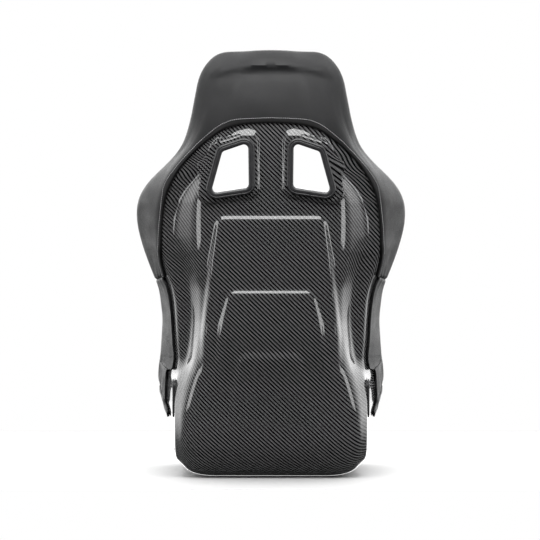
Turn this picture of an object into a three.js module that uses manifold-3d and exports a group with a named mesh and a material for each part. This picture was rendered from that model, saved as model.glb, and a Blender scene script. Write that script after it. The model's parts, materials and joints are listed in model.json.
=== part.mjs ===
// A fixed-back bucket racing seat: a moulded laminate shell, wrap-over bolster covers, loose cushions,
// harness bezels, belt-slot trims and side-mount inserts. Millimetres, +Z up, the seat faces -Y.
// Origin: on the flat underside, midway between the four side-mount inserts.
import * as THREE from "three";
import { mergeVertices } from "three/addons/utils/BufferGeometryUtils.js";
import Module from "manifold-3d";

const wasm = await Module();
wasm.setup();

// ---------------------------------------------------------------- driving dimensions
const WALL = 4; // laminate thickness of the shell
const GAP = 1.5; // clearance between the faceted shell and the soft parts around it
const WRAP_GAP = 2.6; // clearance inside the covers, which turn round the shell's corners
const SKIN = 4; // leather and scrim on the back of the shell
const TOP = 868; // station of the shell's top edge, inside the head cover
const LIP = -462; // station of the shell's front lip
const FAN = { y: 25, z: 260 }; // sections of the hip corner fan out from this axis
const BASE_HALF = 205; // the flat side pads of the base, where the seat bolts up
const INSERT = { spacing: 290, z: 65, barrel: 7.5, flange: 13, thread: 3.4, length: 16 };
const CRUMB = 0.4; // running gap between hard parts

// ---------------------------------------------------------------- curves through a few points
// A smooth curve through [station, value] pairs that never overshoots them.
function through(points) {
  const p = [...points].sort((a, b) => a[0] - b[0]);
  const slope = p.slice(1).map((b, i) => (b[1] - p[i][1]) / (b[0] - p[i][0]));
  const tangent = p.map((_, i) => {
    if (i === 0) return slope[0];
    if (i === p.length - 1) return slope[i - 1];
    const [a, b] = [slope[i - 1], slope[i]];
    return a * b <= 0 ? 0 : (2 * a * b) / (a + b);
  });
  return (s) => {
    const at = Math.min(Math.max(s, p[0][0]), p[p.length - 1][0]);
    let i = p.length - 2;
    while (i > 0 && p[i][0] > at) i--;
    const span = p[i + 1][0] - p[i][0];
    const t = (at - p[i][0]) / span;
    const [t2, t3] = [t * t, t * t * t];
    return (
      (2 * t3 - 3 * t2 + 1) * p[i][1] +
      (t3 - 2 * t2 + t) * span * tangent[i] +
      (3 * t2 - 2 * t3) * p[i + 1][1] +
      (t3 - t2) * span * tangent[i + 1]
    );
  };
}

// ---------------------------------------------------------------- the shell's shape
// A station is the height on the back, and below the hips it runs on as the length along the underside.
const lineY = through([
  [868, 322], [820, 333], [760, 338], [700, 336], [640, 329], [560, 314.5], [460, 294.5], [360, 274.5],
  [260, 254.5], [200, 243.5], [140, 232], [90, 221], [50, 205], [15, 182], [-20, 152], [-60, 115],
  [-100, 75], [-150, 25], [-225, -50], [-300, -125], [-355, -180], [-396, -219], [-429, -245], [-462, -258],
]);
const lineZ = through([
  [868, 868], [260, 260], [200, 201], [140, 142], [90, 92], [50, 56], [15, 28], [-20, 10], [-60, 1],
  [-85, 0], [-368, 0], [-396, 9], [-429, 31], [-462, 61],
]);
// Half-widths (x) and depths towards the sitter (w) of the section's corners, centre to rim.
const panelX = through([
  [868, 40], [835, 62], [760, 84], [690, 98], [640, 122], [585, 142], [458, 143], [400, 135], [340, 135],
  [282, 144], [238, 156], [179, 169], [123, 178], [59, 178], [0, 168], [-60, 165], [-400, 165], [-462, 150],
]);
const faceX = through([
  [868, 62], [835, 88], [760, 108], [674, 128], [606, 179], [582, 191], [547, 199], [514, 201], [485, 198],
  [464, 188], [442, 180], [408, 174], [338, 168], [299, 170], [259, 175], [234, 181], [208, 193],
  [170, 202], [123, BASE_HALF], [-400, BASE_HALF], [-462, 190],
]);
const faceW = through([
  [868, 8], [760, 10], [700, 14], [650, 28], [600, 45], [550, 56], [480, 60], [300, 66], [236, 66],
  [176, 60], [120, 52], [60, 44], [0, 40], [-400, 40], [-462, 30],
]);
const flangeX = through([
  [868, 80], [835, 110], [760, 130], [700, 158], [682, 172], [651, 198], [619, 216], [585, 226], [538, 231],
  [500, 231], [470, 224], [444, 216], [408, 205], [375, 200], [337, 198], [296, 196], [259, 194],
  [215, 199], [190, 203], [150, BASE_HALF], [-400, BASE_HALF], [-462, 195],
]);
const flangeW = through([
  [868, 14], [760, 18], [700, 26], [650, 40], [600, 55], [550, 66], [480, 71], [300, 77], [236, 82],
  [190, 90], [120, 95], [-355, 92], [-429, 70], [-462, 52],
]);
const rimX = through([
  [868, 100], [855, 117], [835, 130], [800, 141], [750, 154], [700, 174], [675, 194], [650, 220],
  [627, 245], [603, 264], [578, 274], [552, 275], [500, 265], [450, 248], [400, 230], [373, 226],
  [335, 223], [296, 225], [257, 228], [218, 230], [150, 232], [60, 234], [0, 232], [-355, 231],
  [-429, 222], [-462, 205],
]);
const rimW = through([
  [868, 20], [760, 34], [700, 60], [660, 88], [620, 116], [580, 136], [540, 146], [480, 150], [400, 150],
  [300, 152], [240, 160], [180, 185], [100, 205], [50, 206], [-20, 200], [-90, 182], [-200, 180],
  [-340, 182], [-400, 160], [-435, 120], [-462, 78],
]);
// How much of the stretch before and after each corner its rounding takes.
const ROUND = [
  [0, 0],
  [0.3, 0.45],
  [0.14, 0.25],
  [0.25, 0.16],
  [0, 0],
];

// The direction of a section's depth: forwards on the back, turning to straight up under the thighs.
function depthAxis(q) {
  const [y, z] = [lineY(q), lineZ(q)];
  if (z >= FAN.z) return new THREE.Vector3(0, -1, 0);
  if (y <= FAN.y) return new THREE.Vector3(0, 0, 1);
  return new THREE.Vector3(0, FAN.y - y, FAN.z - z).normalize();
}

// The shell's outer face in its section's plane: u is 0 at the centre line, 1 at the panel's edge,
// 2 where the side face ends, 3 at the flange's corner and 4 at the rim.
function sectionAt(q, u) {
  const corner = [
    [0, 0],
    [panelX(q), 0],
    [faceX(q), faceW(q)],
    [flangeX(q), flangeW(q)],
    [rimX(q), rimW(q)],
  ].map(([x, w]) => new THREE.Vector2(x, w));
  const i = Math.min(Math.floor(u), 3);
  const f = u - i;
  const [, after] = ROUND[i];
  const [before] = ROUND[i + 1];
  const rounded = (k, t) => {
    const a = corner[k].clone().lerp(corner[k - 1], ROUND[k][0]);
    const b = corner[k].clone().lerp(corner[k + 1], ROUND[k][1]);
    return new THREE.QuadraticBezierCurve(a, corner[k], b).getPoint(t);
  };
  if (f < after) return rounded(i, 0.5 + (0.5 * f) / after);
  if (f > 1 - before) return rounded(i + 1, (0.5 * (f - 1 + before)) / before);
  return corner[i].clone().lerp(corner[i + 1], f);
}

// A section's plane: its origin on the centre line, across (x) and depth (w).
function planeAt(q, side = 1) {
  return {
    origin: new THREE.Vector3(0, lineY(q), lineZ(q)),
    across: new THREE.Vector3(side, 0, 0),
    depth: depthAxis(q),
  };
}

function place(plane, p) {
  return plane.origin.clone().addScaledVector(plane.across, p.x).addScaledVector(plane.depth, p.y);
}

function shellPoint(q, u) {
  return place(planeAt(q, u < 0 ? -1 : 1), sectionAt(q, Math.abs(u)));
}

// The outward normal of the shell's outer face.
function shellNormal(q, u) {
  const [dq, du] = [2, 0.02];
  const v = Math.abs(u);
  const at = (a, b) => place(planeAt(a), sectionAt(a, Math.min(Math.max(b, 0), 4)));
  const alongQ = at(Math.min(q + dq, TOP), v).sub(at(Math.max(q - dq, LIP), v));
  const alongU = at(q, v + du).sub(at(q, v - du));
  if (v < du) alongU.set(1, 0, 0);
  const n = alongQ.cross(alongU).normalize();
  if (v < du) n.x = 0;
  if (u < 0) n.x = -n.x;
  return n.normalize();
}

// Where a section reaches a distance x from the centre line.
function uAt(q, x) {
  let [lo, hi] = [0, 4];
  for (let i = 0; i < 26; i++) {
    const mid = (lo + hi) / 2;
    if (sectionAt(q, mid).x < Math.abs(x)) lo = mid;
    else hi = mid;
  }
  return Math.sign(x) * lo;
}

// A point off the shell's outer face; a negative offset goes through the wall towards the sitter.
const off = (q, u, offset) => shellPoint(q, u).addScaledVector(shellNormal(q, u), offset);
const offX = (q, x, offset) => off(q, uAt(q, x), offset);

// ---------------------------------------------------------------- making closed geometry
const range = (from, to, n) => Array.from({ length: n + 1 }, (_, i) => from + ((to - from) * i) / n);
const stations = (from, to, step) => range(from, to, Math.max(1, Math.round(Math.abs(to - from) / step)));
const mix = (a, b, t) => a + (b - a) * t;

function geometryOf(positions, faces) {
  const g = new THREE.BufferGeometry();
  g.setAttribute("position", new THREE.Float32BufferAttribute(positions.flatMap((p) => p.toArray()), 3));
  g.setIndex(faces.flat());
  return g;
}

function toSolid(geometry) {
  const g = geometry.clone();
  g.deleteAttribute("normal");
  g.deleteAttribute("uv");
  const merged = mergeVertices(g, 1e-4);
  return new wasm.Manifold(
    new wasm.Mesh({
      numProp: 3,
      vertProperties: new Float32Array(merged.attributes.position.array),
      triVerts: new Uint32Array(merged.index.array),
    }),
  );
}

function toGeometry(solid) {
  const m = solid.getMesh();
  const g = new THREE.BufferGeometry();
  g.setAttribute("position", new THREE.BufferAttribute(new Float32Array(m.vertProperties), 3));
  g.setIndex(new THREE.BufferAttribute(new Uint32Array(m.triVerts), 1));
  return g;
}

// Faces turned outwards whichever way round they were written.
function outwards(points, faces) {
  let volume = 0;
  for (const [a, b, c] of faces) volume += points[a].dot(points[b].clone().cross(points[c]));
  return toSolid(geometryOf(points, volume < 0 ? faces.map(([a, b, c]) => [a, c, b]) : faces));
}

// A solid through rings of the same number of points: closed by caps, or joined last to first.
function loft(rings, { joined = false } = {}) {
  const [m, n] = [rings.length, rings[0].length];
  const faces = [];
  for (let r = 0; r < (joined ? m : m - 1); r++) {
    const next = ((r + 1) % m) * n;
    for (let k = 0; k < n; k++) {
      const [a, b, l] = [r * n + k, r * n + ((k + 1) % n), (k + 1) % n];
      faces.push([a, b, next + l], [a, next + l, next + k]);
    }
  }
  if (!joined) {
    // each cap zips the ring's two sides together, from its first and last points inwards
    for (const r of [0, m - 1]) {
      const ring = rings[r];
      let [i, j] = [0, n - 1];
      while (j - i > 1) {
        const near = ring[i + 1].distanceTo(ring[j]) < ring[i].distanceTo(ring[j - 1]);
        const corners = [i, near ? i + 1 : j - 1, j].map((k) => r * n + k);
        faces.push(r === 0 ? corners.reverse() : corners);
        if (near) i++;
        else j--;
      }
    }
  }
  return outwards(rings.flat(), faces);
}

// A solid between a front and a back surface given over an outline, both met by rings about a centre.
function patch(outline, centre, fractions, front, back) {
  const n = outline.length;
  const at = (f, k, face) => {
    const x = mix(centre.x, outline[k].x, f);
    const y = mix(centre.y, outline[k].y, f);
    return face(x, y, f, outline[k]);
  };
  const points = [face0(front), face0(back)];
  function face0(face) {
    return face(centre.x, centre.y, 0, outline[0]);
  }
  const faces = [];
  const sheets = [front, back].map((face) =>
    fractions.map((f) => {
      const start = points.length;
      for (let k = 0; k < n; k++) points.push(at(f, k, face));
      return start;
    }),
  );
  sheets.forEach((rings, side) => {
    const put = (a, b, c) => faces.push(side ? [a, c, b] : [a, b, c]);
    for (let k = 0; k < n; k++) {
      const l = (k + 1) % n;
      put(side, rings[0] + k, rings[0] + l);
      for (let r = 0; r + 1 < rings.length; r++) {
        put(rings[r] + k, rings[r + 1] + k, rings[r + 1] + l);
        put(rings[r] + k, rings[r + 1] + l, rings[r] + l);
      }
    }
  });
  const [rf, rb] = [sheets[0][fractions.length - 1], sheets[1][fractions.length - 1]];
  for (let k = 0; k < n; k++) {
    const l = (k + 1) % n;
    faces.push([rf + k, rb + k, rb + l], [rf + k, rb + l, rf + l]);
  }
  return outwards(points, faces);
}

// A convex outline with rounded corners, as points that carry their outward directions. A right
// angle takes the given number of steps, and a shallow corner fewer.
function rounded(corners, radius, steps = 4) {
  const n = corners.length;
  const out = (a, b) => new THREE.Vector2(b.y - a.y, a.x - b.x).normalize();
  return corners.flatMap((c, i) => {
    const [before, after] = [out(corners[(i + n - 1) % n], c), out(c, corners[(i + 1) % n])];
    const from = before.angle();
    const turn = Math.atan2(before.cross(after), before.dot(after));
    const pull = radius / (1 + before.dot(after));
    const middle = c.clone().addScaledVector(before, -pull).addScaledVector(after, -pull);
    return range(from, from + turn, Math.max(1, Math.round((steps * turn) / (Math.PI / 2)))).map((t) => {
      const normal = new THREE.Vector2(Math.cos(t), Math.sin(t));
      return { x: middle.x + radius * normal.x, y: middle.y + radius * normal.y, normal };
    });
  });
}

function ellipse(a, b, n, power = 2) {
  return Array.from({ length: n }, (_, k) => {
    const t = (2 * Math.PI * k) / n;
    const [c, s] = [Math.cos(t), Math.sin(t)];
    return {
      x: a * Math.sign(c) * Math.abs(c) ** (2 / power),
      y: b * Math.sign(s) * Math.abs(s) ** (2 / power),
      normal: new THREE.Vector2(c, s),
    };
  });
}

const v3 = (x, y, z) => new THREE.Vector3(x, y, z);
// A point of a plane standing in space: d goes outwards from an outline point, h is the height.
const stand = (frame, p, d, h) =>
  frame.o.clone()
    .addScaledVector(frame.a, p.x + d * p.normal.x)
    .addScaledVector(frame.b, p.y + d * p.normal.y)
    .addScaledVector(frame.n, h);
const prism = (frame, outline, d, h0, h1) =>
  loft([h0, h1].map((h) => outline.map((p) => stand(frame, p, d, h))));
// A ring whose cross-section, in outward distance and height, follows an outline.
const ringOf = (frame, outline, profile) =>
  loft(outline.map((p) => profile.map(([d, h]) => stand(frame, p, d, h))), { joined: true });
// A turned piece about a frame's normal, from radius and height pairs; closed on itself.
const turned = (frame, profile, n = 24) =>
  ringOf(frame, ellipse(1e-9, 1e-9, n), profile);

function mirrored(geometry) {
  const g = geometry.clone();
  const p = g.attributes.position;
  for (let i = 0; i < p.count; i++) p.setX(i, -p.getX(i));
  const index = g.index.array;
  for (let i = 0; i < index.length; i += 3) [index[i + 1], index[i + 2]] = [index[i + 2], index[i + 1]];
  return g;
}

const largest = (solid) => solid.decompose().sort((a, b) => b.volume() - a.volume())[0];

// ---------------------------------------------------------------- the shell
// Across one side: the flat panel, its rounded edge, the side face, the flange and the wing.
const ACROSS = [
  ...range(0, 0.72, 2), 0.92, 1.12, 1.45, 1.86, 1.95, 2.05, 2.25, 2.75, 2.9, 3, 3.16, 3.58, 4,
];

// The shell between two offsets from its outer face, so that a fatter copy can cut its neighbours.
function shellBetween(outer, inner, beyond = 0) {
  const rows = [...stations(TOP, 290, 41), ...stations(260, -90, 29), ...stations(-150, -345, 65),
    ...stations(-368, LIP, 18.8)];
  const us = [...ACROSS.slice(1).reverse().map((u) => -u), ...ACROSS];
  // the fatter copy also reaches past the rim, the top edge and the lip
  const past = (q, u) => {
    const p = shellPoint(q, u);
    const away = (from) => p.clone().sub(from).normalize().multiplyScalar(beyond);
    const shift = new THREE.Vector3();
    if (Math.abs(u) === 4) shift.add(away(shellPoint(q, u * 0.97)));
    if (q === TOP) shift.add(away(shellPoint(q - 4, u)));
    if (q === LIP) shift.add(away(shellPoint(q + 4, u)));
    return shift;
  };
  const layer = (offset) => rows.flatMap((q) => us.map((u) => off(q, u, offset).add(past(q, u))));
  const [m, n] = [rows.length, us.length];
  const inside = m * n;
  const faces = [];
  for (let r = 0; r + 1 < m; r++) {
    for (let c = 0; c + 1 < n; c++) {
      const a = r * n + c;
      const b = inside + a;
      // the diagonals are mirrored about the centre line, so that both sides of the seat match
      const quad = (p, flip) => (c < (n - 1) / 2) === flip
        ? [[p, p + 1, p + n], [p + 1, p + n + 1, p + n]]
        : [[p, p + 1, p + n + 1], [p, p + n + 1, p + n]];
      faces.push(...quad(a, true), ...quad(b, true).map(([i, j, k]) => [i, k, j]));
    }
  }
  const edge = (a, b) => faces.push([a, inside + b, b], [a, inside + a, inside + b]);
  for (let c = 0; c + 1 < n; c++) {
    edge(c, c + 1);
    edge((m - 1) * n + c + 1, (m - 1) * n + c);
  }
  for (let r = 0; r + 1 < m; r++) {
    edge((r + 1) * n, r * n);
    edge(r * n + n - 1, (r + 1) * n + n - 1);
  }
  return outwards([...layer(outer), ...layer(inner)], faces);
}

// ---------------------------------------------------------------- harness openings
// A plane that leans with the upper back, raised clear of the panel's curve.
const LEAN = Math.atan(0.13);
const OPENING = {
  frame: {
    o: v3(0, 336.3, 655),
    a: v3(1, 0, 0),
    b: v3(0, Math.sin(LEAN), Math.cos(LEAN)),
    n: v3(0, Math.cos(LEAN), -Math.sin(LEAN)),
  },
  outline: rounded(
    [[46, 615], [124, 603], [100, 689], [47, 707]].map(
      ([x, z]) => new THREE.Vector2(x, (z - 655) / Math.cos(LEAN)),
    ),
    9,
    4,
  ),
  land: 17,
  foot: 27,
};

// The raised pad round an opening, its foot sunk into the wall so that the two fuse.
function openingPad(grow = 0) {
  const { frame, outline } = OPENING;
  const [land, foot] = [OPENING.land + grow, OPENING.foot + grow];
  const onShell = (p, d, offset) => {
    const at = stand(frame, p, d, 0);
    return offX(at.z, at.x, offset);
  };
  return loft(
    outline.map((p) => [
      stand(frame, p, -3, grow), stand(frame, p, land, grow), stand(frame, p, land + 3, grow - 1.2),
      onShell(p, foot, grow - 1), onShell(p, foot, -2.6), onShell(p, 11, -2.6), onShell(p, -3, -2.6),
    ]),
    { joined: true },
  );
}

// ---------------------------------------------------------------- raised steps on the back
// Each step stands on the one before: its outline, its rise and the stations where it fades away.
const STEPS = [
  { corners: [[-136, 190], [136, 190], [136, 340], [127, 458], [112, 541], [96, 551], [-96, 551], [-112, 541],
    [-127, 458], [-136, 340]], rise: 4.5, fade: [215, 310] },
  { corners: [[-116, 190], [116, 190], [108, 262], [100, 330], [88, 385], [70, 395], [-70, 395], [-88, 385],
    [-100, 330], [-108, 262]], rise: 4.5, fade: [200, 270] },
  { corners: [[-78, 150], [78, 150], [72, 200], [64, 252], [46, 263], [-46, 263], [-64, 252], [-72, 200]],
    rise: 4.5, fade: [155, 205] },
];

function stepSolids() {
  const rise = (q, from, to, h) => mix(-0.7, h, THREE.MathUtils.smoothstep(q, from, to));
  let base = () => 0;
  return STEPS.map(({ corners, rise: h, fade }) => {
    const outline = filled(rounded(corners.map(([x, q]) => new THREE.Vector2(x, q)), 8, 1), 70);
    const under = base;
    const top = (q) => under(q) + rise(q, fade[0], fade[1], h);
    base = (q) => Math.max(under(q), top(q));
    const middle = new THREE.Vector2(0, (corners[0][1] + corners[4][1]) / 2);
    return patch(
      outline, middle, [0.3, 0.55, 0.78, 0.94, 1],
      (x, q, f) => offX(q, x, f === 1 ? -1.3 : top(q)),
      (x, q) => offX(q, x, -2.8),
    );
  });
}

// ---------------------------------------------------------------- belt slots and side mounts
const SLOT = {
  frame: { o: v3(BASE_HALF, 168, 170), a: v3(0, 1, 0), b: v3(0, 0, 1), n: v3(1, 0, 0) },
  outline: rounded([[-10, -34], [8, -34], [11, 34], [-7, 34]].map(([x, y]) => new THREE.Vector2(x, y)), 8.5, 4),
};
const CROTCH = {
  frame: { o: v3(0, -95, 0), a: v3(1, 0, 0), b: v3(0, 1, 0), n: v3(0, 0, 1) },
  outline: rounded([[-42, -18], [42, -18], [42, 18], [-42, 18]].map(([x, y]) => new THREE.Vector2(x, y)), 12, 4),
};
const insertFrame = (y) => ({ o: v3(BASE_HALF, y, INSERT.z), a: v3(0, 1, 0), b: v3(0, 0, 1), n: v3(1, 0, 0) });
const ROUND_BAR = ellipse(1e-6, 1e-6, 18);

function bothSides(solid) {
  return [solid, toSolid(mirrored(toGeometry(solid)))];
}

function cutShell() {
  let solid = shellBetween(0, -WALL);
  for (const step of stepSolids()) solid = solid.add(step);
  for (const pad of bothSides(openingPad())) solid = solid.add(pad);
  const cuts = [
    ...bothSides(prism(OPENING.frame, OPENING.outline, 3.4, -60, 30)),
    ...bothSides(prism(SLOT.frame, SLOT.outline, 3, -25, 25)),
    prism(CROTCH.frame, CROTCH.outline, 3.4, -20, 20),
    ...[-1, 1].flatMap((s) => bothSides(prism(insertFrame((s * INSERT.spacing) / 2), ROUND_BAR, INSERT.barrel + CRUMB, -20, 20))),
  ];
  for (const cut of cuts) solid = solid.subtract(cut);
  return largest(solid).simplify(0.02);
}

const fatShell = bothSides(openingPad(CRUMB)).reduce((a, b) => a.add(b), shellBetween(CRUMB, -WALL - CRUMB, 1));
const SLIVER = 0.05; // shortest edge that a trimmed piece keeps
// Trims a piece to what the wall leaves free.
function fit(solid, { always = false } = {}) {
  if (!always && solid.intersect(fatShell).volume() < 1e-6) return solid;
  return largest(solid.subtract(fatShell)).simplify(SLIVER);
}

// ---------------------------------------------------------------- covers that wrap the rim
// How far the padded roll stands out beyond the shell's rim, by the rim's station.
const lip = through([
  [868, 32], [850, 28], [800, 20], [750, 18], [700, 19], [650, 17], [627, 15], [603, 13], [578, 12],
  [500, 12], [423, 12], [300, 11], [218, 8], [60, 7], [-400, 7], [-440, 6],
]);

// Foam rounds a hollow corner off: each point is drawn towards its neighbours, a few times over.
function relaxed(points, times = 4) {
  let line = points;
  for (let i = 0; i < times; i++) {
    line = line.map((p, k) =>
      k === 0 || k === line.length - 1
        ? p
        : p.clone().multiplyScalar(2).add(line[k - 1]).add(line[k + 1]).multiplyScalar(0.25),
    );
  }
  return line;
}

// Where the foam's back meets the shell, from front edge to rim: closest together round its corners.
const BACKING = [1, 0.8, 0.73, 0.66, 0.5, 0.36, 0.27, 0.02];

// path: stations with a hem and a front edge and the rim between them, each as a {q, u} on the shell.
function wrap(path, { skin = SKIN, edge = 9, pad = 22, tuck = 4, start = 0 }) {
  const rim = path.map((s) => shellPoint(s.rim.q, s.rim.u));
  const rings = path.map((s, i) => {
    const n = shellNormal(s.rim.q, s.rim.u);
    const tangent = rim[Math.min(i + 1, rim.length - 1)].clone().sub(rim[Math.max(i - 1, 0)]).normalize();
    const o = tangent.clone().cross(n).normalize();
    const towards = rim[i].clone().sub(shellPoint(mix(s.rim.q, s.hem.q, 0.2), mix(s.rim.u, s.hem.u, 0.2)));
    if (o.dot(towards) < 0) o.negate();
    const between = (a, b, t, offset) => off(mix(a.q, b.q, t), mix(a.u, b.u, t), offset);
    const length = shellPoint(s.hem.q, s.hem.u).distanceTo(rim[i]);
    const from = start / length;
    const reach = lip(s.rim.q);
    const middle = rim[i].clone().addScaledVector(n, -WALL / 2);
    // a narrow pad is a thin one; over the head the roll is fuller
    const width = rim[i].distanceTo(shellPoint(s.front.q, s.front.u));
    const deep = Math.min(pad, 0.42 * width);
    const full = Math.min(edge, deep) + 9 * THREE.MathUtils.smoothstep(s.rim.q, 640, 820);
    const [rear, front] = [WRAP_GAP + skin + 1 + WALL / 2, WRAP_GAP + full + WALL / 2];
    const roll = (t) => middle.clone()
      .addScaledVector(o, reach * Math.sin(t) ** 0.85)
      .addScaledVector(n, (Math.cos(t) > 0 ? rear : front) * Math.cos(t));
    const padding = (t) => mix(full, tuck, t) + Math.max(0, deep - full / 2) * (1 - (2 * t - 1) ** 4);
    return [
      ...range(from, 0.97, 6).map((t) => between(s.hem, s.rim, t, WRAP_GAP + skin + Math.min(1, (t - from) * 3))),
      ...range(0, Math.PI, 6).slice(1, -1).map(roll),
      ...relaxed(range(0.02, 0.99, 8).map((t) => between(s.rim, s.front, t, -(WALL + WRAP_GAP + padding(t))))),
      ...BACKING.map((t) => between(s.rim, s.front, t, -(WALL + WRAP_GAP))),
      middle.clone().addScaledVector(o, WRAP_GAP + 1).addScaledVector(n, -WALL / 2 - WRAP_GAP * 0.6),
      middle.clone().addScaledVector(o, WRAP_GAP + 1).addScaledVector(n, WALL / 2 + WRAP_GAP * 0.6),
      ...range(0.98, from, 4).map((t) => between(s.hem, s.rim, t, WRAP_GAP)),
    ];
  });
  return loft(rings);
}

// The head cover's path over the top, from one wing seam to the other, by hand-set stations.
const arch = {
  rimQ: through([[0, 868], [1, 868], [2, 868], [3, 828], [4, 780], [5, 728], [6, 672], [7, 622], [8, 572], [9, 522], [10, 472], [11, 424]]),
  rimU: through([[0, 0], [1, 2.2], [2, 4], [11, 4]]),
  hemX: through([[0, 0], [1, 48], [2, 90], [3, 130], [4, 157], [5, 186], [6, 206], [7, 217], [8, 223], [9, 227], [10, 228], [11, 220]]),
  hemZ: through([[0, 748], [1, 746], [2, 737], [3, 712], [4, 689], [5, 657], [6, 624], [7, 597], [8, 565], [9, 520], [10, 470], [11, 424]]),
  frontX: through([[0, 0], [1, 50], [2, 86], [3, 106], [4, 120], [5, 141], [6, 158], [7, 160], [8, 152], [9, 150], [10, 150], [11, 148]]),
  frontZ: through([[0, 826], [1, 822], [2, 808], [3, 775], [4, 742], [5, 705], [6, 662], [7, 622], [8, 576], [9, 524], [10, 472], [11, 424]]),
};
function archPath(half) {
  return [...half.slice(1).reverse().map((s) => -s), ...half].map((s) => {
    const [t, side] = [Math.abs(s), s < 0 ? -1 : 1];
    const spot = (x, z) => ({ q: z, u: side * uAt(z, x) });
    return {
      rim: { q: arch.rimQ(t), u: side * arch.rimU(t) },
      hem: spot(arch.hemX(t), arch.hemZ(t)),
      front: spot(arch.frontX(t), arch.frontZ(t)),
    };
  });
}

const ARCH = [0, 0.6, 1.2, 1.6, 1.9, 2.15, 2.45, 2.8, 3.3, 3.9, 4.5, 5.1, 5.7, 6.3, 6.9, 7.5, 8.1, 8.8, 9.6, 10.4, 11];

// The side bolster runs on below the seam to the hip; its edges draw in above the belt slot.
const bolsterHem = through([[420, 3.5], [408, 3.4], [374, 3.32], [296, 3.24], [211, 3.14], [180, 3.45], [110, 3.52], [10, 3.55]]);
const bolsterFront = through([[424, 1.06], [330, 1.06], [262, 1.12], [240, 1.5], [222, 2.6], [204, 3.3], [180, 3.45], [60, 3.5], [10, 3.5]]);
const sidePath = [...stations(421.5, 268, 22), 254, 243, 234, 226, 218, 209, 198, ...stations(180, 18, 23)].map((q) => ({
  rim: { q, u: 4 },
  hem: { q, u: bolsterHem(q) },
  front: { q, u: q > 421 ? uAt(q, arch.frontX(11)) : bolsterFront(q) },
}));
const thighPath = stations(0, -446, 24).map((q) => ({
  rim: { q, u: 4 },
  hem: { q, u: THREE.MathUtils.mapLinear(q, 0, -446, 3.42, 3.3) },
  front: { q, u: q > -80 ? mix(3.2, 2.3, THREE.MathUtils.smoothstep(-q, 0, 80)) : 2.3 },
}));

// ---------------------------------------------------------------- loose cushions
function cushion(outline, centre, thickness, gap, crown = 6) {
  const puff = (f) => thickness * (1 - f ** 6) ** 0.5;
  return patch(
    outline, centre, [0.35, 0.7, 0.88, 0.96, 1],
    (x, q, f) => offX(q, x, -(WALL + gap + crown + Math.max(0, puff(f) - crown))),
    (x, q) => offX(q, x, -(WALL + gap)),
  );
}
const outlineOf = (corners, radius, steps) => rounded(corners.map(([x, q]) => new THREE.Vector2(x, q)), radius, steps);
// Extra points along an outline's long straight runs, so that it can follow the shell's curve.
function filled(outline, step) {
  return outline.flatMap((p, i) => {
    const next = outline[(i + 1) % outline.length];
    const n = Math.max(1, Math.round(Math.hypot(next.x - p.x, next.y - p.y) / step));
    return range(0, 1, n).slice(0, -1).map((t) => ({ x: mix(p.x, next.x, t), y: mix(p.y, next.y, t), normal: p.normal }));
  });
}

// ---------------------------------------------------------------- the assembly
const material = (color, roughness, metalness = 0) =>
  new THREE.MeshStandardMaterial({ color, roughness, metalness });
const CARBON = material(0x1b1c1e, 0.18);
const LEATHER = material(0x3c3d3f, 0.55);
const SUEDE = material(0x2a2b2d, 0.9);
const PLASTIC = material(0x101112, 0.45);
const STEEL = material(0xb8babd, 0.35, 1);
const HOOK = material(0x18191a, 0.95);
const seat = new THREE.Group();

function add(name, solid, mat) {
  const mesh = new THREE.Mesh(solid.isBufferGeometry ? solid : toGeometry(solid), mat);
  mesh.name = name;
  seat.add(mesh);
}
// The sitter faces -Y, so the left hand is +X.
function addPair(name, solid, mat) {
  const g = toGeometry(solid);
  add(name + "_left", g, mat);
  add(name + "_right", mirrored(g), mat);
}

add("shell", cutShell(), CARBON);

add("head_and_wing_cover", fit(wrap(archPath(ARCH), { start: 15 })), LEATHER);
const hemPath = archPath(ARCH);
const hemBand = loft(hemPath.map((s) => {
  const length = shellPoint(s.hem.q, s.hem.u).distanceTo(shellPoint(s.rim.q, s.rim.u));
  return [[0, 1], [0, 3.6], [1.5, 5.2], [10.8, 5.6], [12.4, 5.4], [12.4, 1]].map(([d, h]) => {
    const t = d / length;
    return off(mix(s.hem.q, s.rim.q, t), mix(s.hem.u, s.rim.u, t), h);
  });
}));
add("cover_hem_band", fit(hemBand), LEATHER);
addPair("side_bolster", fit(wrap(sidePath, { pad: 24 })), LEATHER);

// The thigh pads are relieved behind for the mounting plates and their inserts.
const plateRelief = prism(
  { o: v3(BASE_HALF, 0, INSERT.z), a: v3(0, 1, 0), b: v3(0, 0, 1), n: v3(1, 0, 0) },
  rounded([[-166, -24], [166, -24], [166, 24], [-166, 24]].map(([x, y]) => new THREE.Vector2(x, y)), 12, 3),
  0, -16, 0,
);
addPair("thigh_bolster", fit(largest(wrap(thighPath, { pad: 24 }).subtract(plateRelief))), LEATHER);

const headPad = outlineOf([[-84, 724], [84, 724], [106, 744], [95, 782], [76, 803], [44, 815], [-44, 815], [-76, 803], [-95, 782], [-106, 744]], 10, 3);
add("headrest_pad", fit(cushion(headPad, new THREE.Vector2(0, 768), 24, GAP + 0.7)), SUEDE);
const backPad = outlineOf([[-128, 96], [128, 96], [126, 300], [123, 500], [110, 574], [-110, 574], [-123, 500], [-126, 300]], 24, 4);
add("back_cushion", fit(cushion(filled(backPad, 70), new THREE.Vector2(0, 335), 26, GAP + 0.7)), SUEDE);
const seatPad = outlineOf([[-150, -446], [150, -446], [158, -380], [158, -60], [140, 16], [-140, 16], [-158, -60], [-158, -380]], 24, 4);
const seatCushion = cushion(filled(seatPad, 70), new THREE.Vector2(0, -205), 42, 3.6)
  .subtract(prism(CROTCH.frame, CROTCH.outline, 16, -5, 90));
add("seat_cushion", fit(largest(seatCushion)), SUEDE);

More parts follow.
